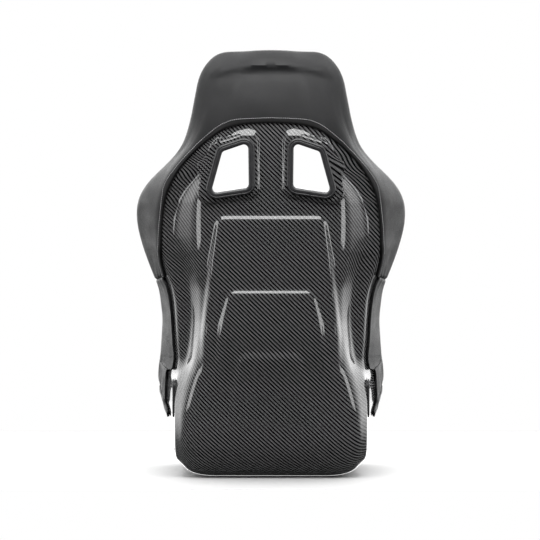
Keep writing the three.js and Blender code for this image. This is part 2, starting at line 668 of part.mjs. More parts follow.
// Harness bezels: the rear one carries the sleeve, the front one is the ring that closes on it.
const bezel = ringOf(OPENING.frame, OPENING.outline, [
  [0, -17], [0, 4.6], [1, 6.4], [3, 7.2], [10.4, 7.2], [12.6, 6], [13.4, 3.6], [13.4, 0.4], [3, 0.4], [3, -17],
]);
addPair("harness_bezel_rear", bezel, PLASTIC);
const frontRing = ringOf(OPENING.frame, OPENING.outline, [
  [3.4, -16.6], [4.4, -18], [9.6, -18], [11.4, -16.4], [11.4, -4], [3.4, -4],
]);
addPair("harness_bezel_front", fit(frontRing, { always: true }), PLASTIC);

addPair("lap_belt_slot_trim", fit(ringOf(SLOT.frame, SLOT.outline, [
  [0, -7], [0, 2.2], [0.8, 3], [5.6, 3], [6.8, 2.2], [6.8, 0.4], [2.6, 0.4], [2.6, -7],
])), PLASTIC);
add("crotch_strap_bezel", fit(ringOf(CROTCH.frame, CROTCH.outline, [
  [0, 0.4], [0, 6.4], [1, 7.4], [9, 7.4], [10.4, 6.4], [10.4, 4.4], [3, 4.4], [3, 0.4],
])), PLASTIC);

// Side mounts: a plate each side with two threaded inserts pushed through it and the wall.
const plateHoles = [-1, 1].map((s) => prism(insertFrame((s * INSERT.spacing) / 2), ROUND_BAR, INSERT.barrel + CRUMB, -20, 20));
let plate = prism(
  { o: v3(BASE_HALF, 0, INSERT.z), a: v3(0, 1, 0), b: v3(0, 0, 1), n: v3(1, 0, 0) },
  rounded([[-160, -17], [160, -17], [160, 17], [-160, 17]].map(([x, y]) => new THREE.Vector2(x, y)), 8, 3),
  0, -WALL - CRUMB - 3, -WALL - CRUMB,
);
for (const hole of plateHoles) plate = plate.subtract(hole);
addPair("side_mount_plate", fit(plate), STEEL);
const insert = (y) => ringOf(insertFrame(y), ROUND_BAR, [
  [INSERT.thread, -INSERT.length], [INSERT.thread, -0.6], [INSERT.thread + 0.6, 0], [INSERT.barrel, 0],
  [INSERT.barrel, -WALL - CRUMB - 3.4], [INSERT.flange - 0.5, -WALL - CRUMB - 3.4],
  [INSERT.flange - 0.5, -WALL - CRUMB - 5.4], [INSERT.barrel, -WALL - CRUMB - 5.4], [INSERT.barrel, -INSERT.length],
]);
addPair("mount_insert_front", insert(-INSERT.spacing / 2), STEEL);
addPair("mount_insert_rear", insert(INSERT.spacing / 2), STEEL);

// Hook-and-loop strips that hold the loose seat cushion down.
[["front", -330], ["rear", -20]].forEach(([name, q]) => {
  const strip = outlineOf([[-95, q - 18], [95, q - 18], [95, q + 18], [-95, q + 18]], 3, 2);
  add(`cushion_strip_${name}`, fit(patch(
    filled(strip, 40), new THREE.Vector2(0, q), [0.5, 1],
    (x, y) => offX(y, x, -(WALL + 2.6)), (x, y) => offX(y, x, -(WALL + 0.5)),
  )), HOOK);
});

export default seat;
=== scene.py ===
# %% [markdown]
# # A fixed-back bucket racing seat
# This lesson dresses a finished CAD seat for its portrait. The CAD model holds every piece at its
# true place, and this script gives the visible surfaces what the CAD leaves out: a smooth moulded
# shell with a woven laminate, leather pulled round its rim, sewn hems, foam cushions and moulded
# bezels. Everything is in metres, +Z is up, and the sitter looks along -Y.

# %% Load the frame
import json

import bpy
import numpy as np
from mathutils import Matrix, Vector

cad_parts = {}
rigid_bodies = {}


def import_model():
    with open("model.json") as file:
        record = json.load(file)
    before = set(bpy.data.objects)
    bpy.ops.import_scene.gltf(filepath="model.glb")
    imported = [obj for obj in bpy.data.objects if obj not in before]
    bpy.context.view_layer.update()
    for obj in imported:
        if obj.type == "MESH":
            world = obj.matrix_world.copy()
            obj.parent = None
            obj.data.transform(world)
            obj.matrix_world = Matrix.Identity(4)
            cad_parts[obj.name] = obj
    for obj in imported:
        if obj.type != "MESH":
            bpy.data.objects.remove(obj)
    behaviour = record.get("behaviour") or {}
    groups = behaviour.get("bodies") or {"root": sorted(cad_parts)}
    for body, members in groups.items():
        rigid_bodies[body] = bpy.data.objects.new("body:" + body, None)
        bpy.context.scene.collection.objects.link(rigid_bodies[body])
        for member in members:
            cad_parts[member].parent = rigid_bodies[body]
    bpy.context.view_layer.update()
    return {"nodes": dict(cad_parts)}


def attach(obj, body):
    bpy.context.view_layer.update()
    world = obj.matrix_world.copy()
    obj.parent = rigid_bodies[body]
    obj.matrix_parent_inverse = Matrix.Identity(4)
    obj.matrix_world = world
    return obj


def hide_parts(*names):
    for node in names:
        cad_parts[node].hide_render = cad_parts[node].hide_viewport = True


bpy.ops.object.select_all(action="SELECT")
bpy.ops.object.delete()
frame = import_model()
nodes = frame["nodes"]

# %% [markdown]
# ## Curves through a few given points
# The shell is one flowing surface, so it is described by a few curves that run its whole length:
# its spine, and the corners of its cross-section. A *monotone cubic* passes through the points it
# is given and never swings past them, which keeps the surface free of ripples.

# %% A smooth curve that never overshoots
MM = 0.001


def through(points):
    x, y = np.array(sorted(points), float).T
    slope = np.diff(y) / np.diff(x)
    tangent = np.concatenate([slope[:1], np.zeros(len(x) - 2), slope[-1:]])
    a, b = slope[:-1], slope[1:]
    tangent[1:-1] = np.where(a * b > 0, 2 * a * b / np.where(a + b == 0, 1, a + b), 0)

    def value(s):
        s = np.clip(np.asarray(s, float), x[0], x[-1])
        i = np.clip(np.searchsorted(x, s, side="right") - 1, 0, len(x) - 2)
        span = x[i + 1] - x[i]
        t = (s - x[i]) / span
        rise = (3 * t**2 - 2 * t**3) * (y[i + 1] - y[i]) + y[i]
        return rise + (t**3 - 2 * t**2 + t) * span * tangent[i] + (t**3 - t**2) * span * tangent[i + 1]

    return value


def smooth(edge0, edge1, value):
    t = np.clip((np.asarray(value, float) - edge0) / (edge1 - edge0), 0, 1)
    return t * t * (3 - 2 * t)


# %% [markdown]
# ## The shell's own curves
# A *station* is a height up the back, in millimetres; below the hips it runs on under the thighs.
# At each station the half-section has four corners: the flat panel's edge, the end of its side
# face, the flange that the belts pass and the rim that the leather wraps.

# %% The seat's spine and section corners
TOP, LIP, WALL, BASE = 868, -462, 4, 205
FAN_Y, FAN_Z = 25, 260

spine_y = through([
    (868, 322), (820, 333), (760, 338), (700, 336), (640, 329), (560, 314.5), (460, 294.5), (360, 274.5),
    (260, 254.5), (200, 243.5), (140, 232), (90, 221), (50, 205), (15, 182), (-20, 152), (-60, 115),
    (-100, 75), (-150, 25), (-225, -50), (-300, -125), (-355, -180), (-396, -219), (-429, -245),
    (-462, -258)])
spine_z = through([
    (868, 868), (260, 260), (200, 201), (140, 142), (90, 92), (50, 56), (15, 28), (-20, 10), (-60, 1),
    (-85, 0), (-368, 0), (-396, 9), (-429, 31), (-462, 61)])
panel_x = through([
    (868, 40), (835, 62), (760, 84), (690, 98), (640, 122), (585, 142), (458, 143), (400, 135), (340, 135),
    (282, 144), (238, 156), (179, 169), (123, 178), (59, 178), (0, 168), (-60, 165), (-400, 165),
    (-462, 150)])
face_x = through([
    (868, 62), (835, 88), (760, 108), (674, 128), (606, 179), (582, 191), (547, 199), (514, 201), (485, 198),
    (464, 188), (442, 180), (408, 174), (338, 168), (299, 170), (259, 175), (234, 181), (208, 193),
    (170, 202), (123, BASE), (-400, BASE), (-462, 190)])
face_w = through([
    (868, 8), (760, 10), (700, 14), (650, 28), (600, 45), (550, 56), (480, 60), (300, 66), (236, 66),
    (176, 60), (120, 52), (60, 44), (0, 40), (-400, 40), (-462, 30)])
flange_x = through([
    (868, 80), (835, 110), (760, 130), (700, 158), (682, 172), (651, 198), (619, 216), (585, 226), (538, 231),
    (500, 231), (470, 224), (444, 216), (408, 205), (375, 200), (337, 198), (296, 196), (259, 194),
    (215, 199), (190, 203), (150, BASE), (-400, BASE), (-462, 195)])
flange_w = through([
    (868, 14), (760, 18), (700, 26), (650, 40), (600, 55), (550, 66), (480, 71), (300, 77), (236, 82),
    (190, 90), (120, 95), (-355, 92), (-429, 70), (-462, 52)])
rim_x = through([
    (868, 100), (855, 117), (835, 130), (800, 141), (750, 154), (700, 174), (675, 194), (650, 220),
    (627, 245), (603, 264), (578, 274), (552, 275), (500, 265), (450, 248), (400, 230), (373, 226),
    (335, 223), (296, 225), (257, 228), (218, 230), (150, 232), (60, 234), (0, 232), (-355, 231),
    (-429, 222), (-462, 205)])
rim_w = through([
    (868, 20), (760, 34), (700, 60), (660, 88), (620, 116), (580, 136), (540, 146), (480, 150), (400, 150),
    (300, 152), (240, 160), (180, 185), (100, 205), (50, 206), (-20, 200), (-90, 182), (-200, 180),
    (-340, 182), (-400, 160), (-435, 120), (-462, 78)])

# %% [markdown]
# Each section is a line of straight runs with rounded corners. `u` runs from 0 on the centre line
# through 1, 2 and 3 at the corners to 4 at the rim, and a negative `u` is the other side.

# %% From station and place across to a point in space
ROUNDING = np.array([[0, 0], [0.3, 0.45], [0.14, 0.25], [0.25, 0.16], [0, 0]])


def section(q, u):
    q, u = np.broadcast_arrays(np.asarray(q, float), np.abs(np.asarray(u, float)))
    zero = np.zeros(q.shape)
    xs = np.stack([zero, panel_x(q), face_x(q), flange_x(q), rim_x(q)], -1)
    ws = np.stack([zero, zero, face_w(q), flange_w(q), rim_w(q)], -1)
    corners = np.stack([xs, ws], -1)

    def corner(k):
        return np.take_along_axis(corners, np.clip(k, 0, 4)[..., None, None], -2)[..., 0, :]

    def bend(k, t):
        c, t = corner(k), t[..., None]
        a = c + (corner(k - 1) - c) * ROUNDING[k, 0][..., None]
        b = c + (corner(k + 1) - c) * ROUNDING[k, 1][..., None]
        return (1 - t) ** 2 * a + 2 * t * (1 - t) * c + t**2 * b

    i = np.minimum(u.astype(int), 3)
    f = u - i
    after, before = ROUNDING[i, 1], ROUNDING[i + 1, 0]
    line = corner(i) + (corner(i + 1) - corner(i)) * f[..., None]
    first = bend(i, 0.5 + 0.5 * f / np.maximum(after, 1e-9))
    last = bend(i + 1, 0.5 * (f - 1 + before) / np.maximum(before, 1e-9))
    return np.where((f < after)[..., None], first, np.where((f > 1 - before)[..., None], last, line))


def shell_point(q, u):
    q, u = np.broadcast_arrays(np.asarray(q, float), np.asarray(u, float))
    y, z = spine_y(q), spine_z(q)
    ahead = np.where(z >= FAN_Z, -1.0, np.where(y <= FAN_Y, 0.0, FAN_Y - y))
    up = np.where(z >= FAN_Z, 0.0, np.where(y <= FAN_Y, 1.0, FAN_Z - z))
    size = np.hypot(ahead, up)
    s = section(q, u)
    x = np.where(u < 0, -1, 1) * s[..., 0]
    return np.stack([x, y + s[..., 1] * ahead / size, z + s[..., 1] * up / size], -1)


def unit(v):
    return v / np.maximum(np.linalg.norm(v, axis=-1, keepdims=True), 1e-12)


def shell_normal(q, u):
    q, u = np.broadcast_arrays(np.asarray(q, float), np.asarray(u, float))
    v = np.abs(u)
    along = shell_point(np.minimum(q + 2, TOP), v) - shell_point(np.maximum(q - 2, LIP), v)
    across = shell_point(q, np.minimum(v + 0.02, 4)) - shell_point(q, np.maximum(v - 0.02, 0))
    across[v < 0.02] = [1, 0, 0]
    n = unit(np.cross(along, across))
    n[v < 0.02, 0] = 0
    n[u < 0, 0] *= -1
    return unit(n)


def off(q, u, offset):
    return shell_point(q, u) + shell_normal(q, u) * np.asarray(offset, float)[..., None]


def u_at(q, x):
    q, x = np.broadcast_arrays(np.asarray(q, float), np.asarray(x, float))
    low, high = np.zeros(q.shape), np.full(q.shape, 4.0)
    for _ in range(30):
        middle = (low + high) / 2
        short = section(q, middle)[..., 0] < np.abs(x)
        low, high = np.where(short, middle, low), np.where(short, high, middle)
    return np.where(x < 0, -low, low)


print("the spine's top", shell_point(868, 0), "outward", shell_normal(np.array([600.0]), np.array([0.5])))

# %% [markdown]
# ## From rings of points to a mesh
# Almost every piece here is a *loft*: rings of the same number of points, one after the other. A
# plain grid is added, its vertices are moved onto the rings, and where the rings close on
# themselves the two edges of the grid are merged. A grid keeps the faces square, which shades far
# better than triangles, and its own rows and columns give the lengths for a UV map.

# %% Helpers that add a grid and lay it on points
def deselect():
    bpy.ops.object.select_all(action="DESELECT")


def pick(piece):
    deselect()
    bpy.context.view_layer.objects.active = piece
    piece.select_set(True)


def mix(a, b, t):
    return a + (b - a) * t


def travel(line):
    """How far along a line each of its points is, from 0 at the first."""
    return np.concatenate([[0], np.cumsum(np.linalg.norm(np.diff(line, axis=0), axis=-1))])


def at_travel(line, at):
    """The points of a line at these distances along it."""
    run = travel(line)
    return np.stack([np.interp(at, run, column) for column in line.T], -1)


def edit(piece, *steps):
    """Runs edit-mode steps on all of one piece."""
    pick(piece)
    bpy.ops.object.mode_set(mode="EDIT")
    bpy.ops.mesh.select_all(action="SELECT")
    for step in steps:
        step()
    bpy.ops.object.mode_set(mode="OBJECT")


def close_up():
    bpy.ops.mesh.remove_doubles(threshold=1e-5)
    bpy.ops.mesh.fill_holes(sides=0)
    bpy.ops.mesh.select_all(action="SELECT")
    bpy.ops.mesh.normals_make_consistent(inside=False)


def laid_grid(name, points, uv=None):
    """A grid whose rows and columns lie on the given points, in millimetres."""
    rows, columns = points.shape[:2]
    deselect()
    bpy.ops.mesh.primitive_grid_add(x_subdivisions=columns - 1, y_subdivisions=rows - 1, size=1)
    piece = bpy.context.object
    piece.name = piece.data.name = name
    mesh = piece.data
    mesh.vertices.foreach_set("co", (points * MM).astype(np.float32).ravel())
    if uv is not None:
        corner = np.zeros(len(mesh.loops), int)
        mesh.loops.foreach_get("vertex_index", corner)
        mesh.uv_layers.active.data.foreach_set("uv", uv.reshape(-1, 2)[corner].astype(np.float32).ravel())
    mesh.update()
    return piece


def loft(name, rings, joined=False):
    """A closed solid through rings; joined runs the last ring back into the first."""
    rings = np.concatenate([rings, rings[:, :1]], 1)
    if joined:
        rings = np.concatenate([rings, rings[:1]], 0)
    piece = laid_grid(name, rings)
    edit(piece, close_up)
    return piece


def apply_modifiers(piece):
    pick(piece)
    for modifier in list(piece.modifiers):
        bpy.ops.object.modifier_apply(modifier=modifier.name)


def vertex_values(piece, what):
    values = np.zeros(3 * len(piece.data.vertices))
    piece.data.vertices.foreach_get(what, values)
    return values.reshape(-1, 3)


def coordinates(piece):
    return vertex_values(piece, "co") / MM


def facing_of(piece):
    return vertex_values(piece, "normal")


def place(piece, points):
    piece.data.vertices.foreach_set("co", (points * MM).astype(np.float32).ravel())
    piece.data.update()


def keep(piece, slot, *replaced, body="seat", finish=None, degrees=40):
    """Shades a finished piece, gives it body and finish, and hides the CAD nodes it replaces. The slot
    argument is not used.
    """
    pick(piece)
    bpy.ops.object.shade_smooth_by_angle(angle=np.radians(degrees))
    piece.data.materials.clear()
    piece.data.materials.append(finish)
    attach(piece, body)
    if replaced:
        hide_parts(*replaced)
    print(piece.name, "has", len(piece.data.polygons), "faces")


# %% [markdown]
# ## Finishes
# A finish is a small network of nodes. These two helpers add a node and wire it in one line, so
# that each finish below reads as a recipe. Patterns read the piece's own coordinates in metres, so
# a grain of half a millimetre is half a millimetre on every piece.

# %% Helpers for finishes
def new_finish(name, **sockets):
    finish = bpy.data.materials.new(name)
    finish.use_nodes = True
    shader = finish.node_tree.nodes["Principled BSDF"]
    for socket, value in sockets.items():
        shader.inputs[socket.replace("_", " ")].default_value = value
    return finish, shader


def node(finish, kind, inputs, output=0, **settings):
    made = finish.node_tree.nodes.new("ShaderNode" + kind)
    for key, value in settings.items():
        setattr(made, key, value)
    for socket, source in inputs.items():
        if isinstance(source, bpy.types.NodeSocket):
            finish.node_tree.links.new(source, made.inputs[socket])
        else:
            made.inputs[socket].default_value = source
    return made.outputs[output]


def maths(finish, operation, a, b=0.0):
    return node(finish, "Math", {0: a, 1: b}, operation=operation)


def mixed(finish, amount, a, b):
    return node(finish, "Mix", {0: amount, 6: a, 7: b}, output=2, data_type="RGBA")


def ranged(finish, value, low, high, out_low, out_high):
    return node(finish, "MapRange", {0: value, 1: low, 2: high, 3: out_low, 4: out_high})


def place_of(finish, scale=(1, 1, 1)):
    at = node(finish, "TexCoord", {}, output=3)
    return node(finish, "Mapping", {"Vector": at, "Scale": scale})


def noise(finish, scale, detail=3.0, stretch=(1, 1, 1)):
    return node(finish, "TexNoise", {"Vector": place_of(finish, stretch), "Scale": scale, "Detail": detail})


def wire(finish, shader, **sources):
    for socket, source in sources.items():
        finish.node_tree.links.new(source, shader.inputs[socket.replace("_", " ")])


def bump(finish, height, distance, strength=1.0, under=None):
    inputs = {"Height": height, "Distance": distance, "Strength": strength}
    if under is not None:
        inputs["Normal"] = under
    return node(finish, "Bump", inputs)


# %% [markdown]
# ### The laminate: a 2 by 2 twill under clear resin
# Carbon cloth is woven from flat tows. In a 2 by 2 twill each tow passes over two and under two,
# and each row starts one tow further along, which draws the diagonal ribs. Where a warp tow is on
# top its fibres run up the seat, where a weft tow is on top they run across, and the two catch the
# light differently; here that is painted, the weft tows lighter as a painted highlight. Each tow is
# also painted darker from its crown to its edges, painted shade on its rounded sides. The UV map
# holds real lengths across and along the seat, so the mask is two `floor`s, a difference and a
# remainder. Over it all lies a layer of resin, which is the shader's clear coat.

# %% The carbon laminate
TOW = 0.0023

carbon, resin = new_finish("carbon_laminate", Roughness=0.3, Metallic=0.0, Specular_IOR_Level=0.03,
                           Coat_Weight=1.0, Coat_Roughness=0.05, Coat_IOR=1.5, IOR=1.5)
lengths = node(carbon, "SeparateXYZ", {0: node(carbon, "UVMap", {})})
lengths_along = lengths.node.outputs[1]
tow_across = maths(carbon, "DIVIDE", lengths, TOW)
tow_along = maths(carbon, "DIVIDE", lengths_along, TOW)
column_number = maths(carbon, "FLOOR", tow_across)
row_number = maths(carbon, "FLOOR", tow_along)
step_over = maths(carbon, "SUBTRACT", column_number, row_number)
warp_on_top = maths(carbon, "LESS_THAN", maths(carbon, "FLOORED_MODULO", step_over, 4.0), 2.0)
in_row = maths(carbon, "FRACT", tow_along)
in_column = maths(carbon, "FRACT", tow_across)
beside = node(carbon, "Mix", {0: warp_on_top, 2: in_row, 3: in_column})
from_middle = maths(carbon, "MULTIPLY_ADD", beside, 2.0)
from_middle.node.inputs[2].default_value = -1.0
from_edge = maths(carbon, "POWER", maths(carbon, "ABSOLUTE", from_middle), 2.5)
tow_crown = maths(carbon, "SUBTRACT", 1.0, from_edge)
cloth_place = node(carbon, "Mapping", {"Vector": node(carbon, "UVMap", {})})
fibres = node(carbon, "TexNoise", {"Vector": cloth_place, "Scale": 900.0, "Detail": 2.0})
cloudy = noise(carbon, 9.0, 2.0)
# Weft tows are painted much lighter than warp tows: a painted highlight for their fibres' sheen.
WARP_GREYS = ((0.0012, 0.0012, 0.0014, 1), (0.0022, 0.0022, 0.0025, 1))
WEFT_PAINTED_HIGHLIGHT_GREYS = ((0.03, 0.0303, 0.031, 1), (0.2, 0.201, 0.203, 1))
warp_grey = node(carbon, "ValToRGB", {0: cloudy})
weft_painted_highlight = node(carbon, "ValToRGB", {0: fibres})
for tow_grey, greys in ((warp_grey, WARP_GREYS), (weft_painted_highlight, WEFT_PAINTED_HIGHLIGHT_GREYS)):
    for stop, grey in zip(tow_grey.node.color_ramp.elements, greys):
        stop.color = grey
top_tow_painted_highlight = mixed(carbon, warp_on_top, weft_painted_highlight, warp_grey)
# Each tow is painted darker from its crown to its edges: painted shade on its rounded sides.
lit_width = ranged(carbon, tow_crown, 0.15, 0.95, 0.0, 1.0)
tow_sides_painted_shade = mixed(carbon, lit_width, (0.002, 0.002, 0.002, 1), top_tow_painted_highlight)
wire(carbon, resin, Base_Color=tow_sides_painted_shade,
     Roughness=ranged(carbon, warp_on_top, 0.0, 1.0, 0.34, 0.22),
     Normal=bump(carbon, tow_crown, 0.00025, 0.35))
print("twill ribs repeat every", round(4 * TOW * 1000, 1), "mm across")

# %% [markdown]
# ### Leather
# Fine-grained hide is a net of shallow creases round small pebbles. A Voronoi pattern's distance to
# the cell edge makes the net, a slow noise stretches and swells it, and a slower one still varies
# the dye and the polish. The creases are painted darker, as painted shade in the grain.

# %% The leathers
DRIFT, PEBBLES_PER_METRE, CREASE_PAINTED_SHADE = 0.004, 900.0, 0.55


def leather(name, dark, light, rough_low, rough_high, grain=0.00016):
    finish, shader = new_finish(name, Specular_IOR_Level=0.27, Sheen_Weight=0.02, Sheen_Roughness=0.45)
    drift = noise(finish, 60.0, 2.0).node.outputs[1]
    pulled = node(finish, "VectorMath", {0: drift, "Scale": DRIFT}, operation="SCALE")
    at = node(finish, "VectorMath", {0: place_of(finish), 1: pulled}, operation="ADD")
    net = {"Vector": at, "Scale": PEBBLES_PER_METRE}
    cells = node(finish, "TexVoronoi", net, feature="DISTANCE_TO_EDGE")
    pebbles = ranged(finish, cells, 0.0, 0.32, 0.0, 1.0)
    pores = noise(finish, 2600.0, 2.0)
    patches = noise(finish, 14.0, 4.0)
    wear = noise(finish, 45.0, 5.0)
    dye = mixed(finish, patches, (*dark, 1), (*light, 1))
    # The creases of the grain are painted darker: painted shade.
    crease_shade_amount = ranged(finish, pebbles, 0.0, 1.0, 0.75, 0.0)
    dye_with_painted_crease_shade = mixed(finish, crease_shade_amount, dye, (*[CREASE_PAINTED_SHADE * c for c in dark], 1))
    polish = maths(finish, "ADD", ranged(finish, wear, 0.3, 0.7, rough_low, rough_high),
                   ranged(finish, pebbles, 0.0, 1.0, 0.08, 0.0))
    swell = bump(finish, noise(finish, 30.0, 3.0), 0.0012, 0.25)
    wire(finish, shader, Base_Color=dye_with_painted_crease_shade, Roughness=polish,
         Normal=bump(finish, pores, 0.00005, 0.4, bump(finish, pebbles, grain, 0.6, swell)))
    return finish


cover_leather = leather("cover_leather", (0.0055, 0.0057, 0.0063), (0.0095, 0.0098, 0.0105), 0.4, 0.5)
hem_leather = leather("hem_leather", (0.003, 0.003, 0.0033), (0.005, 0.005, 0.0053), 0.42, 0.55, 0.0001)
print("leathers:", cover_leather.name, hem_leather.name)

# %% [markdown]
# ### Thread, cloth and tape
# Sewing thread is twisted, so fine slanted ribs run round it, and the grooves between them are
# painted darker as painted shade. The cushions wear a close knitted, non-slip cloth with a soft nap,
# which the sheen gives at its edges; the gaps between its loops are painted dark, as painted shade.
# Hook tape is a field of tiny nylon loops, painted lighter on the loops and darker between them, as
# painted shade.

# %% Thread, cushion cloth and hook tape
thread, ply = new_finish("sewing_thread", Roughness=0.6, Sheen_Weight=0.3, Sheen_Roughness=0.4)
twist = node(thread, "TexWave", {"Vector": place_of(thread), "Scale": 700.0, "Distortion": 1.0}, output=1)
# The thread is painted darker in the grooves of its twist: painted shade.
wire(thread, ply, Base_Color=mixed(thread, twist, (0.24, 0.24, 0.25, 1), (0.5, 0.5, 0.51, 1)),
     Normal=bump(thread, twist, 0.0001, 0.5))

knit, nap = new_finish("cushion_cloth", Roughness=0.9, Sheen_Weight=0.5, Sheen_Roughness=0.4,
                       Specular_IOR_Level=0.25)
loops = node(knit, "TexVoronoi", {"Vector": place_of(knit), "Scale": 620.0}, feature="SMOOTH_F1")
lint = noise(knit, 1600.0, 3.0)
brushed = noise(knit, 22.0, 4.0)
knit_grey = mixed(knit, brushed, (0.018, 0.0185, 0.02, 1), (0.042, 0.043, 0.046, 1))
# The gaps between the knit loops are painted dark: painted shade.
painted_shade_between_loops = ranged(knit, loops, 0.1, 0.7, 0.0, 0.6)
wire(knit, nap, Base_Color=mixed(knit, painted_shade_between_loops, knit_grey, (0.008, 0.008, 0.009, 1)),
     Normal=bump(knit, lint, 0.0001, 0.5, bump(knit, loops, 0.0003, 0.7)))

tape, nylon = new_finish("hook_and_loop", Roughness=0.85, Sheen_Weight=0.35, Sheen_Roughness=0.5)
hooks = node(tape, "TexVoronoi", {"Vector": place_of(tape), "Scale": 900.0}, feature="F1")
# The tape is painted lighter on each loop and darker between the loops: painted shade.
wire(tape, nylon, Base_Color=mixed(tape, hooks, (0.03, 0.03, 0.032, 1), (0.0012, 0.0012, 0.0014, 1)),
     Normal=bump(tape, hooks, 0.0008, 0.8))
print("soft finishes:", thread.name, knit.name, tape.name)

# %% [markdown]
# ### Moulded plastic, rubber and plated steel
# A moulding comes out of a spark-eroded tool, so satin plastic has a very fine even stipple and a
# few slow ripples where it cooled. Rubber is softer and duller. Zinc plate is bright and slightly
# cloudy, with a rolled grain beneath.

# %% Plastic, rubber and steel
plastic, moulding = new_finish("bezel_plastic", Specular_IOR_Level=0.5)
stipple = noise(plastic, 2200.0, 2.0)
scuffs = noise(plastic, 70.0, 6.0)
wire(plastic, moulding, Base_Color=mixed(plastic, scuffs, (0.011, 0.011, 0.012, 1), (0.022, 0.022, 0.023, 1)),
     Roughness=ranged(plastic, scuffs, 0.3, 0.7, 0.3, 0.44), Normal=bump(plastic, stipple, 0.00006, 0.4))

rubber, trim_skin = new_finish("trim_rubber", Specular_IOR_Level=0.4)
bloom = noise(rubber, 40.0, 5.0)
wire(rubber, trim_skin, Base_Color=mixed(rubber, bloom, (0.01, 0.01, 0.011, 1), (0.024, 0.024, 0.025, 1)),
     Roughness=ranged(rubber, bloom, 0.3, 0.7, 0.5, 0.66),
     Normal=bump(rubber, noise(rubber, 1500.0, 2.0), 0.00008, 0.4))

zinc, plate_skin = new_finish("plated_steel", Metallic=1.0, Specular_IOR_Level=0.5)
cloud = noise(zinc, 55.0, 5.0)
rolled = noise(zinc, 240.0, 3.0, (1, 0.06, 1))
wire(zinc, plate_skin, Base_Color=mixed(zinc, cloud, (0.5, 0.5, 0.49, 1), (0.7, 0.7, 0.68, 1)),
     Roughness=ranged(zinc, cloud, 0.3, 0.7, 0.24, 0.42), Normal=bump(zinc, rolled, 0.00006, 0.5))
print("hard finishes:", plastic.name, rubber.name, zinc.name)

# %% [markdown]
# ## The shell
# The real shell is laid up in a mould in one piece: cloth, resin and a core, cured under pressure.
# Its three shallow steps stiffen the flat back, and a raised pad gives each harness bezel a flat
# seat. Both are *relief* on the same surface, so they are added to the grid's points as an offset
# along the normal, worked out from the distance to each outline.

# %% Distances to outlines and the relief on the back
def outline_distance(x, y, corners):
    """Distance to a convex outline, negative inside."""
    a = np.array(corners, float)
    edge = np.roll(a, -1, 0) - a
    p = np.stack([x, y], -1)[..., None, :] - a
    t = np.clip((p * edge).sum(-1) / (edge**2).sum(-1), 0, 1)
    far = np.linalg.norm(p - t[..., None] * edge, axis=-1).min(-1)
    inside = (edge[:, 0] * p[..., 1] - edge[:, 1] * p[..., 0] > 0).all(-1)
    return np.where(inside, -far, far)


# Each step: its right-hand edge from the bottom up as (x, station), and where it fades away below.
CORNER = 19
STEPS = [
    {"side": [(147, 150), (142, 306), (125, 460), (113, 554)], "fade": (200, 330)},
    {"side": [(126, 150), (115, 251), (104, 330), (92, 400)], "fade": (160, 285)},
    {"side": [(93, 60), (85, 130), (76, 200), (66, 268)], "fade": (80, 190)},
]
RISE, SLOPE, SOFTNESS = 6.6, 6.4, 0.4
for step in STEPS:
    half = [(x - CORNER, q) for x, q in step["side"][:-1]]
    half.append(tuple(end - CORNER for end in step["side"][-1]))
    step["outline"] = half + [(-x, q) for x, q in reversed(half)]


def step_relief(x, q):
    rise = np.zeros(np.shape(x))
    for step in STEPS:
        edge = outline_distance(x, q, step["outline"]) - CORNER
        straight = np.clip((SLOPE - edge) / (2 * SLOPE), 0, 1)
        flank = mix(straight, smooth(0, 1, straight), SOFTNESS)
        rise += RISE * flank * smooth(*step["fade"], q)
    return rise


# %% [markdown]
# The harness openings lie in a plane that leans with the upper back. Each pad blends from the
# shell to that plane between two distances from the opening's outline.

# %% The harness openings' plane and outline
LEAN = np.arctan(0.13)
OPENING_Z = 655.0


def plane_at(origin, across, up, outward):
    """A plane to draw outlines in: its origin, its two directions and its normal."""
    return {"o": np.array(origin, float), "a": np.array(across, float), "b": np.array(up, float),
            "n": np.array(outward, float)}


OPENING = plane_at((0, 336.3, OPENING_Z), (1, 0, 0), (0, np.sin(LEAN), np.cos(LEAN)),
                   (0, np.cos(LEAN), -np.sin(LEAN)))
OPENING_CORNERS = [(x, (z - OPENING_Z) / np.cos(LEAN))
                   for x, z in [(46, 615), (124, 603), (100, 689), (47, 707)]]
PAD_LAND, PAD_FOOT = 17, 25


def rounded(corners, radius, steps=12):
    """A convex outline with round corners: points and their outward directions."""
    c = np.array(corners, float)
    edge = unit(np.roll(c, -1, 0) - c)
    after = np.stack([edge[:, 1], -edge[:, 0]], -1)
    before = np.roll(after, 1, 0)
    points, normals = [], []
    for k in range(len(c)):
        start = np.arctan2(before[k, 1], before[k, 0])
        turn = np.arctan2(before[k, 0] * after[k, 1] - before[k, 1] * after[k, 0], before[k] @ after[k])
        middle = c[k] - (before[k] + after[k]) * radius / (1 + before[k] @ after[k])
        for t in np.linspace(start, start + turn, steps):
            normals.append((np.cos(t), np.sin(t)))
            points.append(middle + radius * np.array(normals[-1]))
    return np.array(points), np.array(normals)


def stand(plane, points, normals, d, h):
    """Points of an outline, moved outwards by d in its plane and raised by h above it."""
    p = points + normals * d
    return plane["o"] + p[:, :1] * plane["a"] + p[:, 1:] * plane["b"] + h * plane["n"]


def pad_relief(x, point, normal):
    """The offset that lifts the shell onto the openings' plane, and fades to none at the pad's foot."""
    from_plane = point - OPENING["o"]
    height = from_plane @ OPENING["n"]
    up = from_plane @ OPENING["b"]
    edge = outline_distance(np.abs(x), up, OPENING_CORNERS)
    lift = -height / np.maximum(normal @ OPENING["n"], 0.3)
    return lift * smooth(PAD_FOOT, PAD_LAND, edge)


print("step outlines", [step["outline"][3] for step in STEPS])

# %% [markdown]
# The grid is closest where the relief is: about 3.5 mm between points on the back, and 9 mm on the
# plain wings and the underside. Its UV map holds the true lengths across and along, so the cloth
# keeps its scale where the surface turns.

